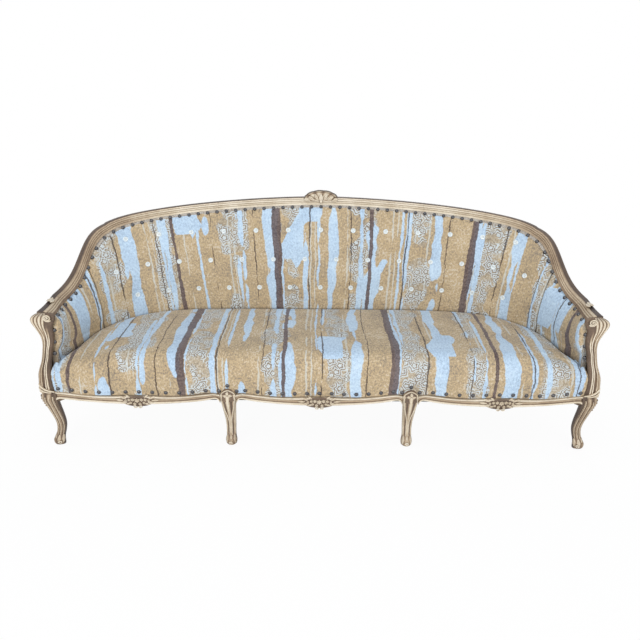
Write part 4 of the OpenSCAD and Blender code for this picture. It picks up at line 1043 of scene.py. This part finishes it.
def apron_low(x):
    ax = np.abs(x)
    near = np.where(ax < INNER_EDGE, INNER_EDGE - ax, np.minimum(ax - OUTER_FROM, OUTER_TO - ax))
    return apron_foot(x) - 24 * np.exp(-np.maximum(near, 0) / 7)


def apron_high(x):
    w = np.pi * span_share(x)
    return 261 - 17 * np.sin(w) + 3.5 * np.cos(4 * w) - 6 * by_inner_leg(x, 17)


def front_rail(node, x0, x1, body):
    soup = Soup("glaze", "dark")
    x = (x0 + x1) / 2 + (x1 - x0) / 2 * np.sin(np.linspace(-1, 1, 220) * np.pi / 2)[:, None]
    low, high, foot = apron_low(x), apron_high(x), apron_foot(x)
    knots = spline(APRON_SHARES, 70)
    face_y = -(knots[:, 0] * BEAD_OUT)[None] + 0 * x
    face_z = low + (high - low) * knots[:, 1][None]
    face = np.stack([x + 0 * face_y, face_y, face_z], -1)
    body_x = np.clip(x, *body)
    rest = np.stack([
        np.concatenate([body_x + 0 * x] * 5, 1),
        np.concatenate([0 * x + v for v in (2, FRONT_RAIL_T - 2, FRONT_RAIL_T, FRONT_RAIL_T, 1)], 1),
        np.concatenate([foot + 1, foot + 1, foot + 3, 0 * x + FRAME_TOP, 0 * x + FRAME_TOP], 1)
    ], -1)
    points = np.concatenate([face, rest], 1)
    glaze = np.concatenate([np.broadcast_to(knots[:, 2][None], face_y.shape), np.full((len(x), 5), 0.2)], 1)
    dark = np.concatenate([np.broadcast_to(knots[:, 3][None], face_y.shape), np.full((len(x), 5), 0.3)], 1)
    soup.closed(points, glaze=np.clip(glaze, 0, 1), dark=dark)
    # Cluster of carved flowers, with leaves running out to both sides
    middle = (x0 + x1) / 2
    centre_z = 229.0
    r = np.linspace(0, 1, 12)[:, None]
    a = np.linspace(0, 2 * np.pi, 60, endpoint=False)[None]
    plate = np.stack([middle + 66 * r * np.cos(a), -BEAD_OUT + 2 - 5 * np.sqrt(1 - r ** 2) + 0 * a,
                      centre_z - 4 + 25 * r * np.sin(a)], -1)
    soup.grid(plate, wrap=True, proud=AHEAD, glaze=0.12, dark=0.15)
    for px, pz, size in (
        (0, 3, 11.5), (-18, 6, 8.5), (18, 6, 8.5), (-33, 5, 7.5), (33, 5, 7.5), (-11, -13, 7.5),
        (11, -13, 7.5), (-27, -8, 6.5), (27, -8, 6.5), (-47, 2, 6.0), (47, 2, 6.0)
    ):
        spot = np.array([middle + px, -BEAD_OUT - 4 + 0.05 * abs(px), centre_z + pz])
        for k in range(6):
            w = 2 * math.pi * (k + 0.5) / 6
            way = np.array([math.cos(w), 0, math.sin(w)])
            soup.leaf(spot, way, np.cross(way, AHEAD), AHEAD, size, size * 0.6, 3.5, 1.0, glaze=0.95)
        soup.knob(spot + AHEAD * 2, AHEAD, RIGHT, size * 0.30, 3.0, 0.95)
    for side in (-1, 1):
        for px, pz, tilt, size in (
            (24, -9, -20, 30), (40, -6, -8, 30), (46, 8, 24, 30), (58, 1, 4, 32), (30, 14, 38, 20)
        ):
            w = math.radians(tilt)
            way = np.array([side * math.cos(w), 0, math.sin(w)])
            foot = (middle + side * px, -BEAD_OUT + 1, centre_z + pz)
            soup.leaf(foot, way, np.cross(way, AHEAD), AHEAD, size, 10, 4.5, -2, glaze=0.95)
        t = np.linspace(0, 1, 36)
        scroll(soup, (middle + side * 11, -BEAD_OUT - 3.0, centre_z - 25), -RIGHT * side, -UP, AHEAD,
               8.5 * (1 - 0.78 * t), 2.3 * np.pi * t, 2.6 * (1 - 0.4 * t))
    soup.show_wood(node)


# Inside back and arms
ROW_SHARES = np.array([0.217, 0.493, 0.768])
RISE_SHARES = np.array([0.02, 0.11, 0.17])
PITCH = 0.1165
BUTTONS = [(k * PITCH, 0) for k in range(-6, 7)]
BUTTONS += [((k + 0.5) * PITCH, 1) for k in range(-7, 7)]
BUTTONS += [(k * PITCH, 2) for k in range(-6, 7)]
ARC_U = np.linspace(-1, 1, 4001)
ARC_X, ARC_Y = curve(ARC_U, SEAT_H)
ARC_LENGTH = np.concatenate([[0], np.cumsum(np.hypot(np.diff(ARC_X), np.diff(ARC_Y)))])
ARC_LENGTH -= ARC_LENGTH[2000]


def arc(u):
    return np.interp(u, ARC_U, ARC_LENGTH)


def pad_z(u, s):
    return SEAT_H + (line_z(u) + RAIL_LIFT - 1 - SEAT_H) * s


def edge_round(u):
    """Rounds the pads off towards the posts."""
    near = np.clip((curve(u, SEAT_H)[1] - wall(CURVE_END, ARM_H)[1]) / 26, 0, 1)
    return np.sqrt(np.maximum(1 - (1 - near) ** 2, 0))


def pad_swell(u, s):
    """How far the pad stands proud of the wall: full in the middle, drawn in at each button."""
    u = np.asarray(u, float)
    s = np.asarray(s, float)
    z = pad_z(u, s)
    a = arc(u)
    pit = np.zeros(np.broadcast(u, s).shape)
    for bu, row in BUTTONS:
        bz = pad_z(bu, ROW_SHARES[row] + RISE_SHARES[row] * bu * bu)
        d2 = (a - arc(bu)) ** 2 + (z - bz) ** 2
        pit = np.maximum(pit, 0.62 * np.exp(-d2 / 46 ** 2) + 0.38 * np.exp(-d2 / 17 ** 2))
    body = BACK_SWELL * (1 - np.minimum(np.abs(2 * s - 1), 1) ** 2.4)
    return edge_round(u) * (body - 14 * pit)


def pad_point(u, s):
    z = pad_z(u, s)
    x, y = wall(u, z, -pad_swell(u, s))
    return np.stack([x, y, z + 0 * x], -1)


def clothed(name, points, faces, material, cloth, seat_join_shade, proud=None):
    """Piece of cover cloth; each point has its place on the flat cloth and how much painted shade it gets
    where the seat meets the back and arms.
    """
    flat = points.reshape(-1, 3)
    marks = {"cloth": cloth.reshape(-1, 3), "seat_join_shade": seat_join_shade.ravel()}
    return new_piece(name, flat, faced(flat, faces, proud), material, marks)


def settle(piece, free, pressure, cap):
    """Lets the cloth swell between its fixed points, and keeps each move under a cap in millimetres."""
    mesh = piece.data
    before = np.empty(len(mesh.vertices) * 3)
    mesh.vertices.foreach_get("co", before)
    group = piece.vertex_groups.new(name="held")
    held = np.nonzero(~np.asarray(free))[0].tolist()
    group.add(held, 1.0, "REPLACE")
    cloth = piece.modifiers.new("cloth", "CLOTH")
    rules = cloth.settings
    rules.quality = 4
    rules.mass = 0.3
    rules.tension_stiffness = 12
    rules.compression_stiffness = 12
    rules.shear_stiffness = 4
    rules.bending_stiffness = 0.4
    rules.use_pressure = True
    rules.uniform_pressure_force = pressure
    rules.vertex_group_mass = "held"
    rules.effector_weights.gravity = 0
    cloth.collision_settings.use_collision = False
    cloth.point_cache.frame_start = 1
    cloth.point_cache.frame_end = SWELL_FRAMES
    for step in range(1, SWELL_FRAMES + 1):
        scene.frame_set(step)
    shaped = piece.evaluated_get(bpy.context.evaluated_depsgraph_get())
    after = np.empty_like(before)
    shaped.data.vertices.foreach_get("co", after)
    move = (after - before).reshape(-1, 3)
    size = np.linalg.norm(move, axis=1, keepdims=True)
    move *= np.minimum(1, cap / 1000 / np.maximum(size, 1e-9))
    print(piece.name, "moved by up to", round(float(size.max()) * 1000, 1), "mm, kept under", cap)
    piece.modifiers.remove(cloth)
    piece.vertex_groups.remove(group)
    mesh.vertices.foreach_set("co", (before.reshape(-1, 3) + move).ravel())
    mesh.update()
    scene.frame_set(1)


def soften(piece):
    finer = piece.modifiers.new("finer", "SUBSURF")
    finer.levels = 1
    finer.render_levels = 1


def arm_span(side, joint):
    """Start and end of an arm's cloth, as shares of the way round, from the joint to its tip."""
    return sorted((side * (joint + JOINT_GAP), side * (CURVE_END - JOINT_GAP)))


def pad(name, node, start, end, columns, shift=0.0):
    """Inside back or arm pad, whose end at an arm's tip reaches behind the post."""
    u = np.linspace(start, end, columns)[:, None]
    tip = np.abs(u) > CURVE_END - 0.001
    rows = 58
    s = np.concatenate([[-0.26, -0.12], np.linspace(0, 1, rows)])[None]
    uu, ss = u + 0 * s, s + 0 * u
    front = pad_point(uu, np.clip(ss, 0, 1))
    low = ss < 0
    z = np.where(low, SEAT_H + (SEAT_H - PAD_FOOT) * ss / 0.26, front[..., 2])
    fx, fy = wall(uu, SEAT_H)
    front[..., 0] = np.where(low, fx, front[..., 0])
    front[..., 1] = np.where(low, fy, front[..., 1])
    front[..., 2] = z
    behind = []
    for share in (1.0, 0.6, 0.2, -0.26):
        zz = pad_z(u, share) if share > 0 else PAD_FOOT + 0 * u
        x, y = wall(u, zz, PAD_T)
        x = np.where(tip, np.sign(u) * np.maximum(np.abs(x), post_inner(zz) + 22), x)
        behind.append(np.stack([x, np.maximum(y, POST_BACK), zz + 0 * x], -1))
    points = np.concatenate([front] + behind, 1)
    points[..., 1] = np.maximum(points[..., 1], POST_BACK)
    n, m = points.shape[:2]
    across = arc(u) + 0 * points[..., 2]
    inner_x = wall(u, points[..., 2])[0]
    across = np.where(tip & (np.arange(m) >= 2 + rows), across + points[..., 0] - inner_x, across)
    cloth = np.stack([across / 1000 + shift, points[..., 2] / 1000, 0 * across], -1)
    edge_x, edge_y = wall(u, SEAT_H, -2.0)
    # Painted shade along the pad's foot, where it meets the seat
    seat_join_shade = 1 - smooth(points[..., 2] - (seat_top(edge_x, edge_y) - 9), 0, 8)
    piece = clothed(name, points, closed_faces(n, m), BACK_CLOTH, cloth, seat_join_shade)
    free = np.zeros((n, m), bool)
    free[3:-3, 4:rows - 3] = True
    for bu, row in BUTTONS:
        spot = pad_point(np.array(bu), np.array(ROW_SHARES[row] + RISE_SHARES[row] * bu * bu))
        free &= np.linalg.norm(points - spot, axis=-1) > 13
    settle(piece, free.ravel(), 3.0, PAD_MOVE)
    soften(piece)
    stand_for(piece, "cover_cloth", node, padded=0.8)


def outside_cover(name, node, start, end, foot):
    """Outside cloth of the back or an arm, from a foot height up to the rail."""
    u = np.linspace(start, end, int(abs(end - start) / 0.006) + 4)[:, None]
    s = np.linspace(0, 1, 24)[None]
    top = pad_z(u, 1.0)
    z = foot + (top - foot) * s
    rows = []
    for off in (OUTER_OFF + 0.8, OUTER_OFF + 3.8):
        x, y = wall(u + 0 * s, z, off)
        rows.append(np.stack([x, np.maximum(y, POST_BACK + 0.1), z + 0 * x], -1))
    points = np.concatenate([rows[0], rows[1][:, ::-1]], 1)
    n, m = points.shape[:2]
    across = arc(u) / 1000 + OUTSIDE_CLOTH_SHIFT + np.zeros((n, m))
    cloth = np.stack([across, points[..., 2] / 1000, np.zeros((n, m))], -1)
    piece = clothed(name, points, closed_faces(n, m), BACK_CLOTH, cloth, np.zeros(n * m))
    stand_for(piece, "cover_cloth", node)


# Seat
def post_inner(z):
    q = (np.clip(z, LEG_H, LEG_H + 0.6 * POST_H) - LEG_H) / POST_H
    return POST_X + POST_SWING * along(POST_INNER_SHARES, q)[0]


def roll_drop(away, r):
    """Fall of a rounded edge at a distance from its foot."""
    d = np.clip(away, 0, r)
    return r - np.sqrt(np.maximum(r * r - (r - d) ** 2, 0))


def seat_top(x, y):
    """Height of the seat before its edges are rounded."""
    middle = np.clip(1 - (x / 1010) ** 2, 0, 1) * np.clip(1 - ((y - 250) / 300) ** 2, 0, 1)
    fall = SIDE_DROP * np.minimum(np.abs(x) / 1040, 1) ** 6
    corner = 20 * smooth(np.abs(x), 800, 1030) * (1 - smooth(y, 10, 300))
    return SEAT_H + SEAT_CROWN * middle ** 0.7 - fall - corner - 4.5 * (1 - np.clip(y, 0, SEAT_D) / SEAT_D)


def seat_surface(columns, rows, inset):
    """Seat from the foot of its front, over the rolled edge and back to the curve, as a grid of strips."""
    even = np.linspace(-1, 1, columns)
    share = 0.5 * np.sin(even * 1.5) / np.sin(1.5) + 0.5 * even
    gap = COVER_GAP + inset
    edge_x, edge_y = wall(np.linspace(-CURVE_END, CURVE_END, 1600), SEAT_H, -gap)
    ring = np.stack([edge_x, edge_y], -1)
    back_x, back_y = wall(share * 0.983, SEAT_H, -gap)
    r = FRONT_ROLL - inset
    start_y = COVER_Y + inset + r
    corner = post_inner(np.array(395.0)) - gap
    roll_z = seat_top(share * corner, start_y) - inset - r
    foot = apron_high(share * 1060) + COVER_GAP
    strips = []
    lengths = []
    for f in np.linspace(0, 1, 14):
        z = foot + (roll_z - foot) * f
        strips.append(np.stack([share * (post_inner(z) - gap), np.full(columns, COVER_Y + inset), z], -1))
        lengths.append((z - SEAT_H) / 1000)
    for w in np.linspace(0, np.pi / 2, 14)[1:]:
        z = roll_z + r * math.sin(w)
        y = np.full(columns, COVER_Y + inset + r * (1 - math.cos(w)))
        strips.append(np.stack([share * (post_inner(z) - gap), y, z], -1))
        lengths.append((roll_z - SEAT_H + r * w) / 1000)
    last = strips[-1]
    rolled = lengths[-1]
    for f in np.linspace(0, 1, rows)[1:] ** 0.93:
        x = last[:, 0] + (back_x - last[:, 0]) * f
        y = last[:, 1] + (back_y - last[:, 1]) * f
        strips.append(np.stack([x, y, seat_top(x, y) - inset], -1))
        lengths.append(rolled + (y - last[:, 1]) / 1000)
    points = np.array(strips)
    x, y = points[..., 0], points[..., 1]
    away = np.full(x.shape, 1e9)
    for k in range(0, len(ring), 40):
        block = ring[k:k + 41]
        away = np.minimum(away, np.sqrt(((points[..., None, :2] - block) ** 2).sum(-1)).min(-1))
    beside = np.where(y < 75, np.maximum(corner - np.abs(x), 0), 1e9)
    drop = roll_drop(np.minimum(away, beside), SIDE_ROLL - inset * 0.5)
    rise = smooth(np.arange(len(points))[:, None], 12, 26) + 0 * x
    points[..., 2] -= drop * rise
    ripple = 0.6 * np.sin(x / 37.0 + 0.9 * np.sin(x / 91.0)) * np.exp(-((y - 20) / 60) ** 2)
    points[..., 2] += ripple * rise
    # Painted shade along the seat's edge, where it meets the back and arms
    seat_edge_shade = (1 - smooth(away, 0.5, 5)) * rise
    return points, np.array(lengths), seat_edge_shade


def seat():
    points, lengths, seat_edge_shade = seat_surface(330, 74, 0.0)
    n, m = points.shape[:2]
    cloth = np.stack([points[..., 0] / 1000, lengths, np.zeros((n, m))], -1)
    proud = np.array([0, -0.5, 1.0])
    piece = clothed("seat_upholstery", points, grid_faces(n, m, False), SEAT_CLOTH, cloth, seat_edge_shade, proud)
    free = np.zeros((n, m), bool)
    free[7:-3, 3:-3] = True
    settle(piece, free.ravel(), 2.0, SEAT_MOVE)
    thick = piece.modifiers.new("thick", "SOLIDIFY")
    thick.thickness = COVER_THICK / 1000
    thick.offset = -1
    soften(piece)
    stand_for(piece, "cover_cloth", "seat_cover", padded=0.9)

    inner = seat_surface(120, 40, 7.0)[0]
    n, m = inner.shape[:2]
    inner[..., 2] = np.maximum(inner[..., 2], 334)
    faces = grid_faces(n, m, False)
    low = inner.reshape(-1, 3).copy()
    low[:, 2] = 333.6
    under = [[i + n * m for i in face[::-1]] for face in faces]
    edge = list(range(m)) + [i * m + m - 1 for i in range(1, n)]
    edge += [(n - 1) * m + j for j in range(m - 2, -1, -1)] + [i * m for i in range(n - 2, 0, -1)]
    sides = [[edge[i], edge[i - 1], edge[i - 1] + n * m, edge[i] + n * m] for i in range(len(edge))]
    both = np.concatenate([inner.reshape(-1, 3), low])
    filling = new_piece("seat_filling", both, faced(both, faces + under + sides), CANVAS, {})
    stand_for(filling, "canvas", "seat_stuffing", padded=0.9)


# Nails and buttons
def dome_points(r, h, rings=7, sides=20):
    f = np.linspace(0, 1, rings)[:, None]
    a = np.linspace(0, 2 * np.pi, sides, endpoint=False)[None]
    lift = h * np.sqrt(np.maximum(1 - f ** 2, 0)) + 0 * a
    return np.stack([r * f * np.cos(a), r * f * np.sin(a), lift], -1)


def turned(points, way):
    way = np.asarray(way, float) / np.linalg.norm(way)
    side = np.cross(UP, way)
    side = side / np.linalg.norm(side) if np.linalg.norm(side) > 1e-6 else RIGHT
    other = np.cross(way, side)
    return points[..., :1] * side + points[..., 1:2] * other + points[..., 2:] * way


def surface_way(u, s):
    """Direction in which a nail or button faces out of the pad."""
    du, ds = 0.0015, 0.02
    a = pad_point(np.array(u + du), np.array(s)) - pad_point(np.array(u - du), np.array(s))
    b = pad_point(np.array(u), np.array(min(s + ds, 1.0))) - pad_point(np.array(u), np.array(s - ds))
    way = np.cross(b, a)
    inward = -np.array([*[float(v) for v in normal(np.array(u))], 0])
    return way / np.linalg.norm(way) * np.sign(np.dot(way, inward))


NAIL_HALF = np.concatenate([np.arange(25) * 0.0333, 24 * 0.0333 + np.arange(1, 10) * 0.02])
NAIL_U = np.concatenate([-NAIL_HALF[:0:-1], NAIL_HALF])
SIDE_NAIL_U = 0.989


def seat_nail_places():
    """Nails along the seat's front: three round each inner leg, and even runs between them."""
    near = 35.7
    end = 1066.0
    half = [(INNER_LEG_X - 2 * near) * i / 6 for i in range(6)]
    half += [INNER_LEG_X - 2 * near, INNER_LEG_X - near, INNER_LEG_X, INNER_LEG_X + near]
    half += [INNER_LEG_X + near + (end - INNER_LEG_X - near) * i / 12 for i in range(1, 13)]
    return sorted({s * v for v in half for s in (-1, 1)})


def nails():
    soup = Soup()
    dome = dome_points(NAIL_R * 1.08, NAIL_R * 0.7)
    for u in NAIL_U:
        z = line_z(u) - 1
        s = float((z - SEAT_H) / (pad_z(u, 1.0) - SEAT_H))
        at = pad_point(np.array(u), np.array(s))
        way = surface_way(u, min(s, 0.98))
        soup.grid(at + way * 1.2 + turned(dome, way), wrap=True, proud=way)
    for side in (-1, 1):
        for i in (1, 2, 3):
            z = float(line_z(SIDE_NAIL_U)) - 1 - NAIL_PITCH * i
            x = float(wall(np.array(side * CURVE_END), z)[0]) + side * 3.5
            way = np.array([-side * 0.35, -1.0, 0])
            soup.grid(np.array([x, POST_BACK - 0.6, z]) + turned(dome, way), wrap=True, proud=way)
    stand_for(soup.piece("back_nail_heads", NAIL), "nail_metal", "back_nails")
    soup = Soup()
    for x in seat_nail_places():
        lift = 25 * math.exp(-((abs(x) - INNER_LEG_X) / 14) ** 2)
        sag = 4.5 + 4 * math.sin(math.pi * float(span_share(np.array(x))))
        at = np.array([x, COVER_Y - 0.4, float(apron_high(np.array(x))) + 10 + sag + lift])
        soup.grid(at + turned(dome, AHEAD), wrap=True, proud=AHEAD)
    stand_for(soup.piece("seat_nail_heads", NAIL), "nail_metal", "seat_nails")
    # Narrow braid that the nails hold
    u = np.linspace(-0.80, 0.80, 900)
    z = line_z(u) - 1
    s = (z - SEAT_H) / (pad_z(u, 1.0) - SEAT_H)
    points = pad_point(u, s)
    nx, ny = normal(u)
    points[:, 0] -= nx * 0.2
    points[:, 1] -= ny * 0.2
    soup = Soup("line")
    soup.tube(points + [0, 0, 1.5], 7.0, sides=16, flat=0.16)
    soup.tube(points - [0, 0, 7.0], 1.3, sides=8, line=1.0)
    stand_for(soup.piece("nail_braid", BRAID), "cover_cloth")


def button_points():
    f = np.linspace(0, 1, 16)[:, None]
    a = np.linspace(0, 2 * np.pi, 40, endpoint=False)[None]
    x, y = BUTTON_R * f * np.cos(a), BUTTON_R * f * np.sin(a)
    rim = 0.7 * np.exp(-((f - 0.74) / 0.12) ** 2) - 3.0 * smooth(f, 0.86, 1.0)
    profile = 3.4 - 1.5 * (1 - smooth(f, 0.50, 0.66)) + rim
    hole = np.zeros(x.shape)
    for hx, hy in ((2.3, 2.3), (-2.3, 2.3), (2.3, -2.3), (-2.3, -2.3)):
        hole = np.maximum(hole, np.exp(-(((x - hx) ** 2 + (y - hy) ** 2) / 1.5 ** 2) ** 2))
    return np.stack([x, y, profile - 1.2 * hole], -1), hole


def tuft_buttons():
    soup = Soup("hole")
    shape, hole = button_points()
    for u, row in BUTTONS:
        s = float(ROW_SHARES[row] + RISE_SHARES[row] * u * u)
        way = surface_way(u, s)
        at = pad_point(np.array(u), np.array(s))
        soup.grid(at + way * 2.2 + turned(shape, way), wrap=True, proud=way, hole=hole)
    stand_for(soup.piece("pearl_buttons", PEARL), "pearl_button", "tuft_buttons")


top_rails()
for side, word in SIDES:
    arm_post(side, word)
    front_leg(side, word, True)
    front_leg(side, word, False)
front_rail("front_rail_centre", -INNER_EDGE, INNER_EDGE, (-INNER_EDGE, INNER_EDGE))
front_rail("front_rail_left", -OUTER_TO, -OUTER_FROM, (-OUTER_BLOCK_X, -OUTER_FROM))
front_rail("front_rail_right", OUTER_FROM, OUTER_TO, (OUTER_FROM, OUTER_BLOCK_X))
pad("inside_back_upholstery", "inside_back_pad", -PAD_JOINT, PAD_JOINT, 300)
for side, word in SIDES:
    start, end = arm_span(side, PAD_JOINT)
    pad(f"inside_arm_upholstery_{word}", f"inside_arm_pad_{word}", start, end, 64, -ARM_CLOTH_SHIFT * side)
outside_cover("outside_back_cloth", "outside_back_cover", -REAR_LEG_END, REAR_LEG_END, FRAME_H + FRAME_GAP)
for side, word in SIDES:
    start, end = arm_span(side, REAR_LEG_END)
    outside_cover(f"outside_arm_cloth_{word}", f"outside_arm_cover_{word}", start, end, LEG_H + FRAME_GAP)
seat()
nails()
tuft_buttons()

# Frame parts that keep their construction shape get a finished material
KEPT = {
    PLAIN: ["rear_leg_outer_left", "rear_leg_inner_left", "rear_leg_inner_right", "rear_leg_outer_right",
            "rear_seat_rail_left", "rear_seat_rail_centre", "rear_seat_rail_right", "side_seat_rail_left",
            "side_seat_rail_right", "stretcher_left", "stretcher_right", "corner_blocks"],
    STEEL: ["foot_glides", "seat_springs"],
    CANVAS: ["seat_webbing", "spring_hessian", "front_edge_roll", "back_webbing"],
    DUST: ["dust_cover"],
}
for material, names in KEPT.items():
    for name in names:
        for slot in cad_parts[name].material_slots:
            slot.material = material


# Camera of the photograph: focal length and side in pixels, then place in millimetres and angles in degrees
FOCAL_PX = 540
PHOTO_PX = 640
SENSOR_W = 36
CAMERA_Y = -1911
CAMERA_Z = 1422
CAMERA_DIP = 23.5
CAMERA_ROLL = 0.5


# Studio: white sweep, soft light from above and in front
def seen(tree):
    """Share of 1 where the backdrop is seen by the camera, in a reflection or through glass."""
    ray = tree.nodes.new("ShaderNodeLightPath")
    total = ray.outputs["Is Camera Ray"]
    for name in ("Is Glossy Ray", "Is Transmission Ray"):
        either = tree.nodes.new("ShaderNodeMath")
        either.operation = "MAXIMUM"
        tree.links.new(total, either.inputs[0])
        tree.links.new(ray.outputs[name], either.inputs[1])
        total = either.outputs[0]
    return total


def studio():
    floor_mesh = bpy.data.meshes.new("floor")
    turns = np.linspace(0, 2 * math.pi, 64, endpoint=False)
    rings = [(r * math.cos(a), r * math.sin(a), -0.0006) for r in (0.001, 6.0) for a in turns]
    floor_mesh.from_pydata(rings, [], grid_faces(2, 64, True))
    floor = bpy.data.objects.new("floor", floor_mesh)
    scene.collection.objects.link(floor)
    paint = Paint("floor")
    paint.finish(paint.ramp(paint.noise(paint.place(), 3.0), [(0.3, 0.86), (0.7, 0.88)]), 0.9)
    light = paint.node("ShaderNodeEmission")
    light.inputs["Color"].default_value = (1, 1, 1, 1)
    light.inputs["Strength"].default_value = 1.0
    blend = paint.node("ShaderNodeMixShader")
    away = paint.node("ShaderNodeVectorMath", operation="LENGTH")
    paint.join(paint.place(), away.inputs[0])
    white = paint.add(0.95, paint.mul(paint.step(away.outputs["Value"], 1.1, 2.1), 0.05))
    paint.join(paint.mul(seen(paint.tree), white), blend.inputs[0])
    paint.join(paint.shader.outputs[0], blend.inputs[1])
    paint.join(light.outputs[0], blend.inputs[2])
    paint.join(blend.outputs[0], paint.tree.nodes["Material Output"].inputs[0])
    floor_mesh.materials.append(paint.material)

    world = bpy.data.worlds.new("studio")
    scene.world = world
    world.use_nodes = True
    tree = world.node_tree
    sky = tree.nodes["Background"]
    sky.inputs[0].default_value = (0.93, 0.96, 1.0, 1)
    sky.inputs[1].default_value = 0.50
    white = tree.nodes.new("ShaderNodeBackground")
    white.inputs[0].default_value = (1, 1, 1, 1)
    white.inputs[1].default_value = 1.0
    blend = tree.nodes.new("ShaderNodeMixShader")
    tree.links.new(seen(tree), blend.inputs[0])
    tree.links.new(sky.outputs[0], blend.inputs[1])
    tree.links.new(white.outputs[0], blend.inputs[2])
    tree.links.new(blend.outputs[0], tree.nodes["World Output"].inputs[0])

    for name, place, target, size, power, colour in (
        ("above", (0.0, -0.4, 3.2), (0, 0, 0.5), 3.2, 34, (0.93, 0.97, 1.0)),
        ("front_left", (-1.9, -3.8, 1.5), (0, 0, 0.5), 2.2, 72, (1.0, 0.98, 0.95)),
        ("front_right", (2.2, -3.8, 1.3), (0, 0, 0.5), 2.2, 62, (1.0, 0.98, 0.95)),
        ("behind", (0.5, 3.2, 2.4), (0, 0, 0.6), 2.6, 30, (1.0, 1.0, 1.0)),
    ):
        lamp = bpy.data.lights.new(name, "AREA")
        lamp.shape = "DISK"
        lamp.size = size
        lamp.energy = power
        lamp.color = colour
        holder = bpy.data.objects.new(name, lamp)
        scene.collection.objects.link(holder)
        way = np.array(target) - np.array(place)
        way /= np.linalg.norm(way)
        side = np.cross(way, (0, 0, 1.0))
        side /= np.linalg.norm(side)
        top = np.cross(side, way)
        turn = Matrix(np.column_stack([side, top, -way]).tolist()).to_4x4()
        holder.matrix_world = Matrix.Translation(place) @ turn

    camera = bpy.data.cameras.new("camera")
    camera.sensor_width = SENSOR_W
    camera.lens = FOCAL_PX / PHOTO_PX * SENSOR_W
    holder = bpy.data.objects.new("camera", camera)
    scene.collection.objects.link(holder)
    tilt = Matrix.Rotation(math.radians(90 - CAMERA_DIP), 4, "X")
    roll = Matrix.Rotation(math.radians(CAMERA_ROLL), 4, "Z")
    holder.matrix_world = Matrix.Translation((0, (CAMERA_Y - MID_Y) / 1000, CAMERA_Z / 1000)) @ tilt @ roll
    scene.camera = holder
    scene.view_settings.view_transform = "Standard"


studio()
